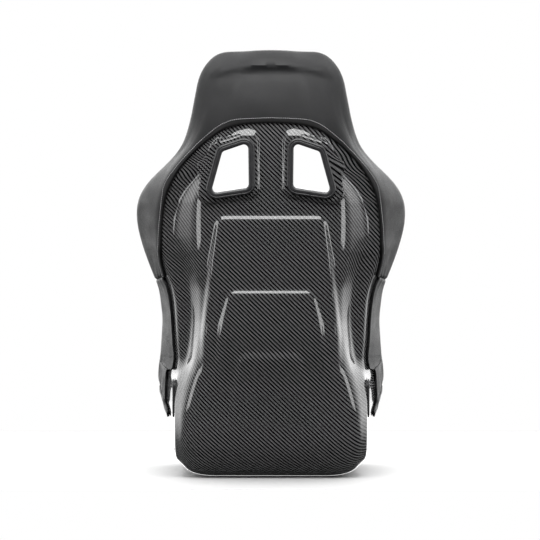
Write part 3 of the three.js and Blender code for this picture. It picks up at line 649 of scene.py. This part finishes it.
# %% The shell's grid, its relief and its wall
HEAD_END, BACK_END = 722, 96
STATIONS = np.concatenate([np.arange(TOP, HEAD_END, -8.1), np.arange(HEAD_END, BACK_END, -3.4),
                           np.arange(BACK_END, LIP, -9.0), [LIP]])
ACROSS = np.concatenate([np.linspace(0, 1, 43)[:-1], np.linspace(1, 2, 19)[:-1],
                         np.linspace(2, 3, 10)[:-1], np.linspace(3, 4, 10)])
ACROSS = np.concatenate([-ACROSS[:0:-1], ACROSS])
q, u = np.meshgrid(STATIONS, ACROSS, indexing="ij")
surface, outward = shell_point(q, u), shell_normal(q, u)
lift = step_relief(surface[..., 0], q)
pads = np.where(q > 560, pad_relief(surface[..., 0], surface, outward), 0)
points = surface + outward * (lift + pads)[..., None]
gaps = np.linalg.norm(np.diff(mix(surface, points, 0.5), axis=1), axis=-1)
length_across = np.concatenate([np.zeros((len(STATIONS), 1)), np.cumsum(gaps, 1)], 1)
length_across -= length_across[:, [len(ACROSS) // 2]]
spine = surface[:, len(ACROSS) // 2]
uv = np.stack([length_across, np.broadcast_to(-travel(spine)[:, None], q.shape)], -1) * MM
shell = laid_grid("moulded_shell", points, uv)
outward_y = np.mean([f.normal.y for f in shell.data.polygons])
if outward_y < 0:
    edit(shell, bpy.ops.mesh.flip_normals)
wall = shell.modifiers.new("Wall", "SOLIDIFY")
wall.thickness, wall.offset, wall.use_even_offset = WALL * MM, -1, False
apply_modifiers(shell)
print("the shell's grid:", q.shape, "faces after the wall:", len(shell.data.polygons))

# %% [markdown]
# ### Holes in the shell
# The cured shell is trimmed and routed. Each cutter is a short prism through the wall, and a
# boolean takes all of them out at once.

# %% Slots, strap hole and insert holes
SLOT = plane_at((BASE, 168, 170), (0, 1, 0), (0, 0, 1), (1, 0, 0))
SLOT_CORNERS, SLOT_RADIUS = [(-10, -34), (8, -34), (11, 34), (-7, 34)], 8.5
STRAP = plane_at((0, -95, 0), (1, 0, 0), (0, 1, 0), (0, 0, 1))
STRAP_CORNERS, STRAP_RADIUS = [(-42, -18), (42, -18), (42, 18), (-42, 18)], 12
OPENING_RADIUS, CLEARANCE = 9, 3.4
MIRROR = np.array([-1.0, 1, 1])
HANDS = ((1, "left"), (-1, "right"))
INSERT_Z, INSERT_HOLE = 65, 7.9
INSERT_PLACES = ((-145, "front"), (145, "rear"))


def round_outline(radius, n=40):
    t = np.linspace(0, 2 * np.pi, n, endpoint=False)
    around = np.stack([np.cos(t), np.sin(t)], -1)
    return radius * around, around


def prism(name, plane, outline, d, low, high, side=1):
    rings = np.stack([stand(plane, *outline, d, h) for h in (low, high)])
    return loft(name, rings * (MIRROR if side < 0 else 1))


cutters = [prism("cut_strap", STRAP, rounded(STRAP_CORNERS, STRAP_RADIUS), CLEARANCE, -20, 20)]
for side, _ in HANDS:
    outline = rounded(OPENING_CORNERS, OPENING_RADIUS)
    cutters.append(prism("cut_opening", OPENING, outline, CLEARANCE, -60, 30, side))
    cutters.append(prism("cut_slot", SLOT, rounded(SLOT_CORNERS, SLOT_RADIUS), 3, -25, 25, side))
    for y, _ in INSERT_PLACES:
        spot = {**SLOT, "o": np.array([BASE, y, INSERT_Z])}
        cutters.append(prism("cut_insert", spot, round_outline(INSERT_HOLE), 0, -20, 20, side))
deselect()
for cutter in cutters:
    cutter.select_set(True)
bpy.context.view_layer.objects.active = cutters[0]
bpy.ops.object.join()
router = bpy.context.object
edit(router, lambda: bpy.ops.mesh.normals_make_consistent(inside=False))
cut = shell.modifiers.new("Routed", "BOOLEAN")
cut.object, cut.operation, cut.solver = router, "DIFFERENCE", "EXACT"
apply_modifiers(shell)
bpy.data.objects.remove(router)
keep(shell, "carbon_laminate", "shell", finish=carbon, degrees=50)

# %% [markdown]
# ## Leather over the rim
# The head and wings wear one leather cover over foam. On the bench it is glued down behind, pulled
# round the rim and tucked in front, so its section is a hook: a flat run behind, a full roll round
# the rim and a soft pad in front. That section is lofted along the rim. Each end, and each seam,
# draws in towards the shell.

# %% The cover's section at every station
COVER_GAP, SKIN = 2.6, 4
EDGE, MORE_AT_HEAD, TUCK = 9, 9, 4
END_DEPTH, END_RUN = 2.6, 6
SEAM_DEPTH, SEAM_RUN = 2.8, 3.5
lip = through([
    (868, 32), (850, 28), (800, 20), (750, 18), (700, 19), (650, 17), (627, 15), (603, 13), (578, 12),
    (500, 12), (423, 12), (300, 11), (218, 8), (60, 7), (-400, 7), (-440, 6)])


def relaxed(lines, times):
    """Draws the inner points of each line towards their neighbours, as foam rounds a hollow."""
    lines = lines.copy()
    for _ in range(times):
        lines[:, 1:-1] = (2 * lines[:, 1:-1] + lines[:, :-2] + lines[:, 2:]) / 4
    return lines


def wrap(name, hem, rim, front, creases, pad=22, start=0, calm=0, seam=None, relief=0):
    """hem, rim and front are (stations, places across) on the shell, one of each for every ring."""
    at_rim = shell_point(*rim)
    normal = shell_normal(*rim)
    along = unit(np.gradient(at_rim, axis=0))
    away = unit(np.cross(along, normal))
    inner = shell_point(mix(rim[0], hem[0], 0.2), mix(rim[1], hem[1], 0.2))
    away *= np.sign(((at_rim - inner) * away).sum(-1))[:, None]
    away, normal, at_rim = (relaxed(line[None], calm)[0] for line in (away, normal, at_rim))
    away, normal = unit(away), unit(normal)
    length = np.linalg.norm(shell_point(*hem) - at_rim, axis=-1)
    width = np.linalg.norm(shell_point(*front) - at_rim, axis=-1)
    travelled = travel(at_rim)
    to_end = np.minimum(travelled, travelled[-1] - travelled)
    tucked = END_DEPTH * (1 - np.clip(to_end / END_RUN, 0, 1)) ** 2
    if seam is not None:
        tucked = tucked + SEAM_DEPTH * np.exp(-(((rim[0] - seam) / SEAM_RUN) ** 2))
    deep = np.minimum(pad, 0.42 * width)
    full = np.minimum(EDGE, deep) + MORE_AT_HEAD * smooth(640, 820, rim[0])

    def blend(a, b, t):
        t = np.broadcast_to(t, (len(a[0]), np.shape(t)[-1]))
        return [mix(start_at[:, None], end_at[:, None], t) for start_at, end_at in zip(a, b)]

    def between(a, b, t, offset):
        return off(*blend(a, b, t), offset)

    first = (start / length)[:, None]
    t = mix(first, 0.97, np.linspace(0, 1, 16)[None])
    skin = SKIN + np.minimum(1, (t - first) * 3) - tucked[:, None]
    skin = skin + creases(travelled[:, None], t, to_end[:, None])
    behind = between(hem, rim, t, COVER_GAP + skin)
    middle = at_rim - normal * WALL / 2
    turn = np.linspace(0, np.pi, 17)[1:-1]
    rear = (COVER_GAP + SKIN + 1 + WALL / 2 - tucked)[:, None]
    ahead = (COVER_GAP + full + WALL / 2 - tucked)[:, None]
    thick = np.where(np.cos(turn) > 0, rear, ahead) * np.cos(turn)
    reach = (lip(rim[0]) - tucked)[:, None] * np.sin(turn) ** 0.85
    roll = middle[:, None] + away[:, None] * reach[..., None] + normal[:, None] * thick[..., None]
    t = np.linspace(0.02, 0.99, 26)[None]
    crown = np.maximum(0, deep - full / 2)[:, None] * (1 - (2 * t - 1) ** 4)
    padding = mix(full[:, None], TUCK, t) + crown
    pad_face = relaxed(between(rim, front, t, -(WALL + COVER_GAP + padding - tucked[:, None])), 36)
    t = np.array([[1, 0.8, 0.73, 0.66, 0.5, 0.36, 0.27, 0.02]])
    height = shell_point(*blend(rim, front, t))[..., 2]
    hollow = relief * smooth(112, 92, height) * smooth(22, 40, height)
    backing = between(rim, front, t, -(WALL + COVER_GAP + hollow))
    beside = WALL / 2 + COVER_GAP * 0.6
    inside = [middle + away * (COVER_GAP + 1) + face * beside * normal for face in (-1, 1)]
    back_under = between(hem, rim, mix(0.98, first, np.linspace(0, 1, 5)[None]), COVER_GAP)
    rings = np.concatenate([behind, roll, pad_face, backing, np.stack(inside, 1), back_under], 1)
    return loft(name, rings)


print("the roll stands out", lip([800, 550]), "mm beside the head and at the wings")

# %% [markdown]
# ### The head and wing cover
# Its path is given as three curves over a running number, 0 at the top of the head and
# 11 at the wing's seam: where the rim is, where the hem lies behind and where the pad ends in
# front. The foam under the leather makes a soft roll just below the head's top edge.

# %% The path over the head
rim_q_at = through([(0, 868), (1, 868), (2, 868), (3, 828), (4, 780), (5, 728), (6, 672), (7, 622), (8, 572),
                    (9, 522), (10, 472), (11, 423)])
rim_u_at = through([(0, 0), (1, 2.2), (2, 4), (11, 4)])
hem_x_at = through([(0, 0), (1, 48), (2, 90), (3, 130), (4, 157), (5, 186), (6, 206), (7, 217), (8, 223),
                    (9, 227), (10, 228), (11, 220)])
hem_z_at = through([(0, 748), (1, 746), (2, 737), (3, 712), (4, 689), (5, 657), (6, 624), (7, 597), (8, 565),
                    (9, 520), (10, 472), (11, 430)])
front_x_at = through([(0, 0), (1, 50), (2, 86), (3, 106), (4, 120), (5, 141), (6, 158), (7, 160), (8, 152),
                      (9, 150), (10, 150), (11, 148)])
front_z_at = through([(0, 826), (1, 822), (2, 808), (3, 775), (4, 742), (5, 705), (6, 662), (7, 622),
                      (8, 576), (9, 524), (10, 472), (11, 424)])


def head_path(run):
    t, side = np.abs(run), np.where(run < 0, -1.0, 1.0)
    hem_q, front_q = hem_z_at(t), front_z_at(t)
    return ((hem_q, side * u_at(hem_q, hem_x_at(t))), (rim_q_at(t), side * rim_u_at(t)),
            (front_q, side * u_at(front_q, front_x_at(t))))


def pulls(travelled, t, to_end):
    """Short puckers where the cover is sewn off at each end, and slow folds from pulling it down."""
    pucker = 0.75 * np.exp(-to_end / 16) * np.sin(2 * np.pi * (t * 3.3 + to_end / 60))
    slow = 0.35 * np.sin(travelled / 37 + 5 * t) + 0.25 * np.sin(travelled / 19 - 7 * t)
    return (pucker + slow) * np.sin(np.pi * np.clip(t, 0, 1)) ** 0.5


ROLL_OUT, ROLL_BOW = 8.5, 0.0011
RUN = np.linspace(-11, 11, 281)
hem_line, rim_line, front_line = head_path(RUN)
head = wrap("head_and_wing_leather", hem_line, rim_line, front_line, pulls, start=11, calm=24)
padded_head = coordinates(head)
high = padded_head[:, 2] + ROLL_BOW * padded_head[:, 0] ** 2
roll = smooth(852, 869, high) * smooth(903, 871, high) * smooth(0.1, 0.7, facing_of(head)[:, 1])
padded_head[:, 1] += ROLL_OUT * roll * smooth(138, 100, np.abs(padded_head[:, 0]))
place(head, padded_head)
keep(head, "cover_leather", "head_and_wing_cover", finish=cover_leather)

# %% [markdown]
# ### The hem and its stitching
# Behind, the leather ends in a folded binding about 12 mm wide, sewn down close to its outer edge.
# The binding is a shallow rounded strip along the hem.

# %% The binding
BINDING = [(0, 0.8), (0, 3.6), (0.3, 4.7), (1.2, 5.5), (3.2, 6.0), (6.0, 6.3), (9.0, 6.3), (11.2, 6.5),
           (12.6, 6.4), (12.6, 0.8)]


def along_hem(hem, rim, d, height):
    """A line beside the hem, d millimetres towards the rim and this high over the shell."""
    t = d / np.linalg.norm(shell_point(*hem) - shell_point(*rim), axis=-1)
    return off(mix(hem[0], rim[0], t), mix(hem[1], rim[1], t), height)


strip_rings = np.stack([along_hem(hem_line, rim_line, d, h) for d, h in BINDING], 1)
keep(loft("hem_binding", strip_rings), "hem_leather", "cover_hem_band", finish=hem_leather)

# %% [markdown]
# The thread shows as short stitches with gaps between them. One stitch is modelled as a sphere
# drawn out into a capsule, and it is copied along the seam at equal steps.

# %% One stitch, copied along the seam
STITCH_PITCH, STITCH_LENGTH, STITCH_WIDTH, BLUNTNESS = 4.4, 3.3, 0.95, 0.8
SIDEWAYS = np.array([0.31, 0.17, 0.93])


def stitches(name, line):
    """One mesh with a copy of the capsule at every step along the line."""
    deselect()
    bpy.ops.mesh.primitive_uv_sphere_add(segments=8, ring_count=6, radius=1)
    one = bpy.context.object
    half = STITCH_LENGTH / 2
    capsule = vertex_values(one, "co") * [STITCH_WIDTH / 2, STITCH_WIDTH / 2, half]
    capsule[:, 2] = np.sign(capsule[:, 2]) * half * np.abs(capsule[:, 2] / half) ** BLUNTNESS
    faces = [tuple(face.vertices) for face in one.data.polygons]
    bpy.data.objects.remove(one)
    at = np.arange(STITCH_PITCH, travel(line)[-1] - STITCH_PITCH / 2, STITCH_PITCH)
    points = at_travel(line, at)
    ahead = unit(at_travel(line, at + 1) - points)
    side = unit(np.cross(ahead, SIDEWAYS))
    turned = np.stack([side, np.cross(ahead, side), ahead], 1)
    placed = points[:, None] + np.einsum("vk,nkc->nvc", capsule, turned)
    mesh = bpy.data.meshes.new(name)
    shift = len(capsule)
    mesh.from_pydata((placed.reshape(-1, 3) * MM).tolist(), [],
                     [tuple(v + k * shift for v in face) for k in range(len(points)) for face in faces])
    row = bpy.data.objects.new(name, mesh)
    bpy.context.scene.collection.objects.link(row)
    print(name, "has", len(points), "stitches")
    return row


seam_line = along_hem(hem_line, rim_line, 10.4, 6.55)
keep(stitches("hem_stitching", seam_line), "hem_leather", finish=thread, degrees=80)

# %% [markdown]
# ### Side and thigh bolsters
# Below the wing's seam a second cover runs down to the hip, and a third goes along the thigh. They
# are the same hook section on other stretches of the rim. Sewing draws the leather in, so every
# end tucks towards the shell, and a hip seam crosses the side bolster.

# %% The bolsters' paths
bolster_hem = through([(420, 3.5), (408, 3.4), (374, 3.32), (296, 3.24), (211, 3.14), (180, 3.45),
                       (110, 3.52), (10, 3.55)])
bolster_front = through([(424, 1.06), (330, 1.06), (262, 1.12), (240, 1.5), (222, 2.6), (204, 3.3),
                         (180, 3.45), (60, 3.5), (10, 3.5)])
SIDE_Q = np.concatenate([np.linspace(422.4, 270, 70), np.linspace(268, 196, 40)[:-1],
                         np.linspace(196, 18, 80)])
THIGH_Q = np.linspace(0, -446, 150)
HIP_SEAM, BOLSTER_PAD, PLATE_RELIEF = 188, 24, 14


def bolster_pulls(travelled, t, to_end):
    pucker = 0.9 * np.exp(-to_end / 18) * np.sin(2 * np.pi * (t * 2.6 + to_end / 55))
    slow = 0.4 * np.sin(travelled / 31 + 4 * t)
    return (pucker + slow) * np.sin(np.pi * np.clip(t, 0, 1)) ** 0.5


side_hem_q = SIDE_Q + 7 * smooth(380, 423, SIDE_Q)
thigh_hem_u = np.interp(-THIGH_Q, [0, 446], [3.42, 3.3])
thigh_front_u = np.where(THIGH_Q > -80, mix(3.2, 2.3, smooth(0, 80, -THIGH_Q)), 2.3)
for side, hand in HANDS:
    for part, rim_q, hem_q, hem_u, front_u, details in (
        ("side", SIDE_Q, side_hem_q, bolster_hem(SIDE_Q), bolster_front(SIDE_Q), {"seam": HIP_SEAM}),
        ("thigh", THIGH_Q, THIGH_Q, thigh_hem_u, thigh_front_u, {"relief": PLATE_RELIEF}),
    ):
        rim = (rim_q, side * 4 + 0 * rim_q)
        cover = wrap(f"{part}_bolster_cover_{hand}", (hem_q, side * hem_u), rim, (rim_q, side * front_u),
                     bolster_pulls, pad=BOLSTER_PAD, **details)
        keep(cover, "cover_leather", f"{part}_bolster_{hand}", finish=cover_leather)

# %% [markdown]
# ## Bezels and trims
# Each harness opening has a two-part bezel: a rear ring with a sleeve through the wall, and a front
# ring that closes on it. A moulding has no sharp edges, so its section is drawn with small rounds
# and a shallow shadow groove, and swept round the outline.

# %% Rings swept round an outline
REAR_RING = [(0, -17), (0, 3.8), (0.25, 4.9), (0.9, 5.8), (2.0, 6.6), (3.2, 7.0), (4.6, 7.2), (7.2, 7.2),
             (7.9, 6.9), (8.3, 6.2), (8.9, 6.2), (9.3, 6.9), (10.0, 7.2), (11.0, 7.0), (12.0, 6.5),
             (12.8, 5.7), (13.3, 4.7), (13.4, 3.6), (13.4, 0.6), (13.2, 0.4), (3, 0.4), (3, -17)]
FRONT_RING = [(3.4, -16.6), (3.6, -17.4), (4.4, -18), (9.6, -18), (10.6, -17.6), (11.3, -16.7),
              (11.4, -15.6), (11.4, -4.5), (3.4, -4.5)]
SLOT_RING = [(0, -7), (0, 1.9), (0.3, 2.6), (1.2, 3.1), (4.9, 3.1), (6.0, 2.8), (6.7, 2.0), (6.8, 1.2),
             (6.8, 0.4), (2.6, 0.4), (2.6, -7)]
STRAP_RING = [(0, 0.4), (0, 6.0), (0.3, 6.9), (1.2, 7.4), (8.6, 7.4), (9.7, 7.1), (10.3, 6.3), (10.4, 5.4),
              (10.4, 4.4), (3, 4.4), (3, 0.4)]
ARC = 14


def ring(name, plane, outline, section_line, side=1):
    rings = np.stack([stand(plane, *outline, d, h) for d, h in section_line], 1)
    return loft(name, rings * (MIRROR if side < 0 else 1), joined=True)


opening_outline = rounded(OPENING_CORNERS, OPENING_RADIUS, ARC)
slot_outline = rounded(SLOT_CORNERS, SLOT_RADIUS, ARC)
for side, hand in HANDS:
    for place_name, section_line in (("rear", REAR_RING), ("front", FRONT_RING)):
        bezel = ring(f"{place_name}_bezel_{hand}", OPENING, opening_outline, section_line, side)
        keep(bezel, "bezel_plastic", f"harness_bezel_{place_name}_{hand}", finish=plastic)
    trim = ring(f"belt_slot_trim_{hand}", SLOT, slot_outline, SLOT_RING, side)
    keep(trim, "trim_rubber", f"lap_belt_slot_trim_{hand}", finish=rubber)
strap_bezel = ring("strap_bezel", STRAP, rounded(STRAP_CORNERS, STRAP_RADIUS, ARC), STRAP_RING)
keep(strap_bezel, "bezel_plastic", "crotch_strap_bezel", finish=plastic)

# %% [markdown]
# ### Threaded inserts, plates and tape
# The inserts are turned parts: a flanged barrel with a chamfered bore. The plates and the tape have
# the right shape in CAD already, so they only change their finish.

# %% Side mounts and tape
BARREL = [(3.4, -15.6), (3.8, -16), (7.1, -16), (7.5, -15.6), (7.5, -9.8), (12.1, -9.8), (12.5, -9.4),
          (12.5, -8.2), (12.1, -7.8), (7.5, -7.8), (7.5, -0.5), (7.0, 0), (4.2, 0), (3.4, -0.8)]
axis_line = round_outline(1e-6, 56)
for side, hand in HANDS:
    for y, end in INSERT_PLACES:
        spot = {**SLOT, "o": np.array([BASE, y, INSERT_Z])}
        insert = ring(f"insert_{end}_{hand}", spot, axis_line, BARREL, side)
        keep(insert, "plated_steel", f"mount_insert_{end}_{hand}", finish=zinc)
refinished = {"side_mount_plate_left": zinc, "side_mount_plate_right": zinc,
              "cushion_strip_front": tape, "cushion_strip_rear": tape}
for name, finish in refinished.items():
    nodes[name].material_slots[0].material = finish
print("refinished CAD nodes:", ", ".join(refinished))

# %% [markdown]
# ## Cushions
# A cushion is cloth sewn round foam. Its faces crown, its sides pull in between the corners and its
# seams draw lines across it. Each one starts as a slim pad that follows the shell. The seat
# cushion has a hole for the crotch strap, so its rings run from the hole outwards.

# %% The pads' first shape
SIDE_HEIGHT = 5


def outline_along(corners, radius, n=180):
    points, _ = rounded(corners, radius, 10)
    closed = np.concatenate([points, points[:1]])
    return at_travel(closed, np.linspace(0, travel(closed)[-1], n, endpoint=False))


def pad_shape(name, outline, centre, thickness, gap, hole=None):
    """A pad between its outline and its middle, or its strap hole given as two half sizes."""
    inwards = np.linspace(0.04, 1, 16)
    core = centre + 0 * outline
    if hole is not None:
        inwards = np.concatenate([[0, 0.05], np.linspace(0.12, 1, 16)])
        ray = unit(outline - centre)
        core = centre + ray * (1 / (np.abs(ray / hole) ** 5).sum(-1, keepdims=True) ** 0.2)
    flat = core + (outline - core) * inwards[:, None, None]
    x, q = flat[..., 0], flat[..., 1]
    u = u_at(q, x)
    puff = thickness * np.maximum(1 - inwards[:, None] ** 6, 0) ** 0.5 + 0 * x
    if hole is not None:
        puff *= (1 - (1 - inwards[:, None]) ** 14) ** 0.5
    back = off(q, u, -(WALL + gap))
    face = off(q, u, -(WALL + gap + SIDE_HEIGHT + np.maximum(0, puff - SIDE_HEIGHT)))
    return loft(name, np.concatenate([back, face[::-1]]), joined=hole is not None)


SPINE_Q = np.linspace(LIP, TOP, 1400)
SPINE_YZ = np.stack([spine_y(SPINE_Q), spine_z(SPINE_Q)], -1)


def stations_of(points):
    """The station nearest each point, found on the seat's centre line."""
    blocks = np.array_split(points, len(points) // 4000 + 1)
    return np.concatenate([SPINE_Q[((block[:, None, 1:] - SPINE_YZ) ** 2).sum(-1).argmin(1)]
                           for block in blocks])


def shell_side_of(points):
    """The station at each point, and the direction out through the shell there."""
    q = stations_of(points)
    return q, shell_normal(q, np.zeros(len(q)))


print("the spine is sampled at", len(SPINE_Q), "stations")

# %% [markdown]
# The pad is remeshed into even faces and blown up as cloth with a little pressure, while its back
# stays held against the shell. The swelling is capped, so that it stays in its place. Then the
# sewn channels are pressed into its face.

# %% Blowing a pad up as cloth
PRESSURE, FRAMES, STIFFNESS = 4.0, 20, 20
HELD_FACING = 0.35


def blown_up(piece, voxel, cap):
    even = piece.modifiers.new("Even", "REMESH")
    even.mode, even.voxel_size = "VOXEL", voxel * MM
    apply_modifiers(piece)
    start = coordinates(piece)
    _, shell_side = shell_side_of(start)
    held = (facing_of(piece) * shell_side).sum(-1) > HELD_FACING
    group = piece.vertex_groups.new(name="held")
    group.add(np.flatnonzero(held).tolist(), 1.0, "REPLACE")
    cloth = piece.modifiers.new("Cloth", "CLOTH").settings
    cloth.use_pressure, cloth.uniform_pressure_force = True, PRESSURE
    cloth.effector_weights.gravity = 0
    cloth.vertex_group_mass = "held"
    cloth.tension_stiffness = cloth.compression_stiffness = STIFFNESS
    cloth.quality = 5
    for at in range(1, FRAMES + 1):
        bpy.context.scene.frame_set(at)
    shown = piece.evaluated_get(bpy.context.evaluated_depsgraph_get())
    moved = coordinates(shown) - start
    piece.modifiers.clear()
    piece.vertex_groups.clear()
    far = np.linalg.norm(moved, axis=-1, keepdims=True)
    moved *= np.minimum(1, cap / np.maximum(far, 1e-9))
    place(piece, start + moved)
    bpy.context.scene.frame_set(1)
    print(piece.name, "swelled by up to", round(float(min(far.max(), cap)), 1), "mm")
    finer = piece.modifiers.new("Finer", "SUBSURF")
    finer.levels = finer.render_levels = 1
    apply_modifiers(piece)


def press_channels(piece, depth_at, deepest):
    """Presses seams into the face that the sitter meets; depth_at gives 0 to 1 by x and station."""
    points = coordinates(piece)
    q, into = shell_side_of(points)
    front = smooth(0.0, 0.6, -(facing_of(piece) * into).sum(-1))
    place(piece, points + into * (deepest * depth_at(points[:, 0], q) * front)[:, None])


STITCHED, DIP = 3.0, 13


def groove(distance):
    """A stitched line with a softer dip beside it."""
    return 0.55 * np.exp(-((distance / STITCHED) ** 2)) + 0.45 * np.exp(-((distance / DIP) ** 2))


print("cloth pressure", PRESSURE, "for", FRAMES, "frames")

# %% [markdown]
# The channels are drawn as simple lines: two long seams, and cross seams between them. A round
# piping closes each cushion's edge.

# %% Headrest pad, back cushion and seat cushion
PAD_GAP, SEAT_GAP = 2.2, 3.6
STRAP_CENTRE, STRAP_HOLE = np.array([0, -95.0]), np.array([60.0, 37.0])
HEAD_CENTRE, BACK_CENTRE = np.array([0, 768.0]), np.array([0, 335.0])


def both_sides(right):
    """Right-hand corners from the bottom up, closed by their mirror image."""
    return [(-right[0][0], right[0][1]), *right, *[(-x, q) for x, q in reversed(right[1:])]]


HEAD_PAD = both_sides([(82, 726), (103, 744), (93, 780), (75, 800), (44, 812)])
BACK_PAD = both_sides([(125, 99), (123, 300), (120, 497), (108, 570)])
SEAT_PAD = both_sides([(147, -443), (155, -380), (155, -60), (137, 13)])


def head_channels(x, q):
    return groove(np.abs(x) - 46) * smooth(730, 745, q)


def back_channels(x, q):
    long = groove(np.abs(x) - 66) * smooth(120, 150, q) * smooth(560, 535, q)
    cross = sum(groove(q - at) for at in (180, 250, 320, 390, 460, 530)) * smooth(68, 60, np.abs(x))
    return np.maximum(long, cross)


def seat_channels(x, q):
    long = groove(np.abs(x) - 84) * smooth(-425, -400, q) * smooth(0, -25, q)
    cross = sum(groove(q - at) for at in (-380, -310, -240, -40)) * smooth(86, 78, np.abs(x))
    return np.maximum(long, cross)


PIPING_RADIUS, PIPING_LIFT = 2.2, 3.4


def piping(name, outline, gap):
    """A round welt along the pad's edge, lofted from small circles."""
    x, q = outline.T
    line = off(q, u_at(q, x), -(WALL + gap + PIPING_LIFT))
    ahead = unit(np.roll(line, -1, 0) - np.roll(line, 1, 0))
    normal = shell_normal(q, u_at(q, x))
    side = unit(np.cross(ahead, normal))
    turn = np.linspace(0, 2 * np.pi, 10, endpoint=False)[None, :, None]
    circle = np.cos(turn) * side[:, None] + np.sin(turn) * normal[:, None]
    return loft(name, line[:, None] + PIPING_RADIUS * circle, joined=True)


head_outline = outline_along(HEAD_PAD, 10)
back_outline = outline_along(BACK_PAD, 24)
seat_outline = outline_along(SEAT_PAD, 24, 220)
head_pad = pad_shape("headrest_cushion", head_outline, HEAD_CENTRE, 19, PAD_GAP)
back_pad = pad_shape("back_cushion_pad", back_outline, BACK_CENTRE, 20, PAD_GAP)
seat_pad = pad_shape("seat_cushion_pad", seat_outline, STRAP_CENTRE, 34, SEAT_GAP, hole=STRAP_HOLE)
for pad, voxel, cap, channels, deepest, node_name, body, fill in (
    (head_pad, 3.5, 6, head_channels, 4.0, "headrest_pad", "seat", 0.8),
    (back_pad, 4.5, 8, back_channels, 6.0, "back_cushion", "seat", 0.8),
    (seat_pad, 4.5, 9, seat_channels, 7.0, "seat_cushion", "loose_cushion", 0.8),
):
    blown_up(pad, voxel, cap)
    press_channels(pad, channels, deepest)
    keep(pad, "cushion_cloth", node_name, body=body, finish=knit, degrees=80)
for name, outline, gap, body in (
    ("headrest_piping", head_outline, PAD_GAP, "seat"),
    ("back_piping", back_outline, PAD_GAP, "seat"),
    ("seat_piping", seat_outline, SEAT_GAP, "loose_cushion"),
):
    keep(piping(name, outline, gap), "hem_leather", body=body, finish=hem_leather, degrees=80)

# %% [markdown]
# ## Studio
# A camera behind the seat and soft lights. The lights are large, because gloss shows a light's
# shape.

# %% Camera and lights
CAMERA_AT, AIM = Vector((0.002, 7.2, 0.60)), Vector((0.002, 0.0, 0.437))
SENSOR, LENS = 36, 222
camera_data = bpy.data.cameras.new("camera")
camera_data.sensor_width, camera_data.lens = SENSOR, LENS
camera = bpy.data.objects.new("camera", camera_data)
bpy.context.scene.collection.objects.link(camera)
camera.location = CAMERA_AT
camera.rotation_euler = (AIM - CAMERA_AT).to_track_quat("-Z", "Y").to_euler()
bpy.context.scene.camera = camera


def soft_light(name, place, aim, size, power):
    data = bpy.data.lights.new(name, "AREA")
    data.shape, data.size, data.size_y, data.energy = "RECTANGLE", *size, power
    light = bpy.data.objects.new(name, data)
    bpy.context.scene.collection.objects.link(light)
    light.location = place
    light.rotation_euler = (Vector(aim) - Vector(place)).to_track_quat("-Z", "Y").to_euler()


soft_light("overhead", (0, 1.85, 2.15), (0, 0.25, 0.45), (2.6, 1.5), 120)
soft_light("side_left", (1.9, 1.25, 0.6), (0, 0.25, 0.5), (0.5, 1.7), 16)
soft_light("side_right", (-1.9, 1.25, 0.6), (0, 0.25, 0.5), (0.5, 1.7), 16)
soft_light("front_fill", (0, -2.4, 2.0), (0, 0, 0.4), (2.4, 1.6), 30)
print("camera", round((CAMERA_AT - AIM).length, 2), "m from its aim")

# %% [markdown]
# The floor is pale paper, left out of the gloss's reflections. The surroundings are brightest on
# the side that the sitter faces, so the steep side faces mirror white while the flat back mirrors
# the dim studio behind the camera, and they fade to dark below the horizon.

# %% Floor and surroundings
FLOOR_NEAR, FLOOR_FAR, FLOOR_HALF = 0.43, -1.2, 2.2
deselect()
bpy.ops.mesh.primitive_plane_add(size=1)
floor = bpy.context.object
floor.name = "floor"
for corner in floor.data.vertices:
    corner.co.x = np.sign(corner.co.x) * FLOOR_HALF
    corner.co.y = FLOOR_NEAR if corner.co.y > 0 else FLOOR_FAR
paper, sheet = new_finish("studio_floor", Roughness=0.8)
wire(paper, sheet, Base_Color=mixed(paper, noise(paper, 3.0), (0.4, 0.4, 0.4, 1), (0.42, 0.42, 0.42, 1)))
floor.data.materials.append(paper)
floor.visible_glossy = False

world = bpy.data.worlds.new("studio")
bpy.context.scene.world = world
world.use_nodes = True
tree = world.node_tree
surroundings = tree.nodes["Background"]
direction = tree.nodes.new("ShaderNodeTexCoord")
split = tree.nodes.new("ShaderNodeSeparateXYZ")
tree.links.new(direction.outputs["Generated"], split.inputs[0])


def fade(axis, start, end, value_at_start, value_at_end):
    made = tree.nodes.new("ShaderNodeMapRange")
    tree.links.new(split.outputs[axis], made.inputs["Value"])
    for number, value in enumerate((start, end, value_at_start, value_at_end)):
        made.inputs[number + 1].default_value = value
    return made.outputs[0]


BACKDROP, DIM_STUDIO, DIM_BELOW = 3.3, 0.015, 0.01
lit = tree.nodes.new("ShaderNodeMath")
lit.operation = "MULTIPLY"
tree.links.new(fade("Y", -0.1, 0.32, BACKDROP, DIM_STUDIO), lit.inputs[0])
tree.links.new(fade("Z", -0.3, -0.08, DIM_BELOW, 1.0), lit.inputs[1])
seen = tree.nodes.new("ShaderNodeLightPath")
strength = tree.nodes.new("ShaderNodeMix")
tree.links.new(seen.outputs["Is Camera Ray"], strength.inputs[0])
tree.links.new(lit.outputs[0], strength.inputs[2])
strength.inputs[3].default_value = 1.0
tree.links.new(strength.outputs[0], surroundings.inputs["Strength"])
surroundings.inputs["Color"].default_value = (1, 1, 1, 1)
bpy.context.scene.view_settings.view_transform = "Standard"
print("floor from", FLOOR_FAR, "to", FLOOR_NEAR, "m")
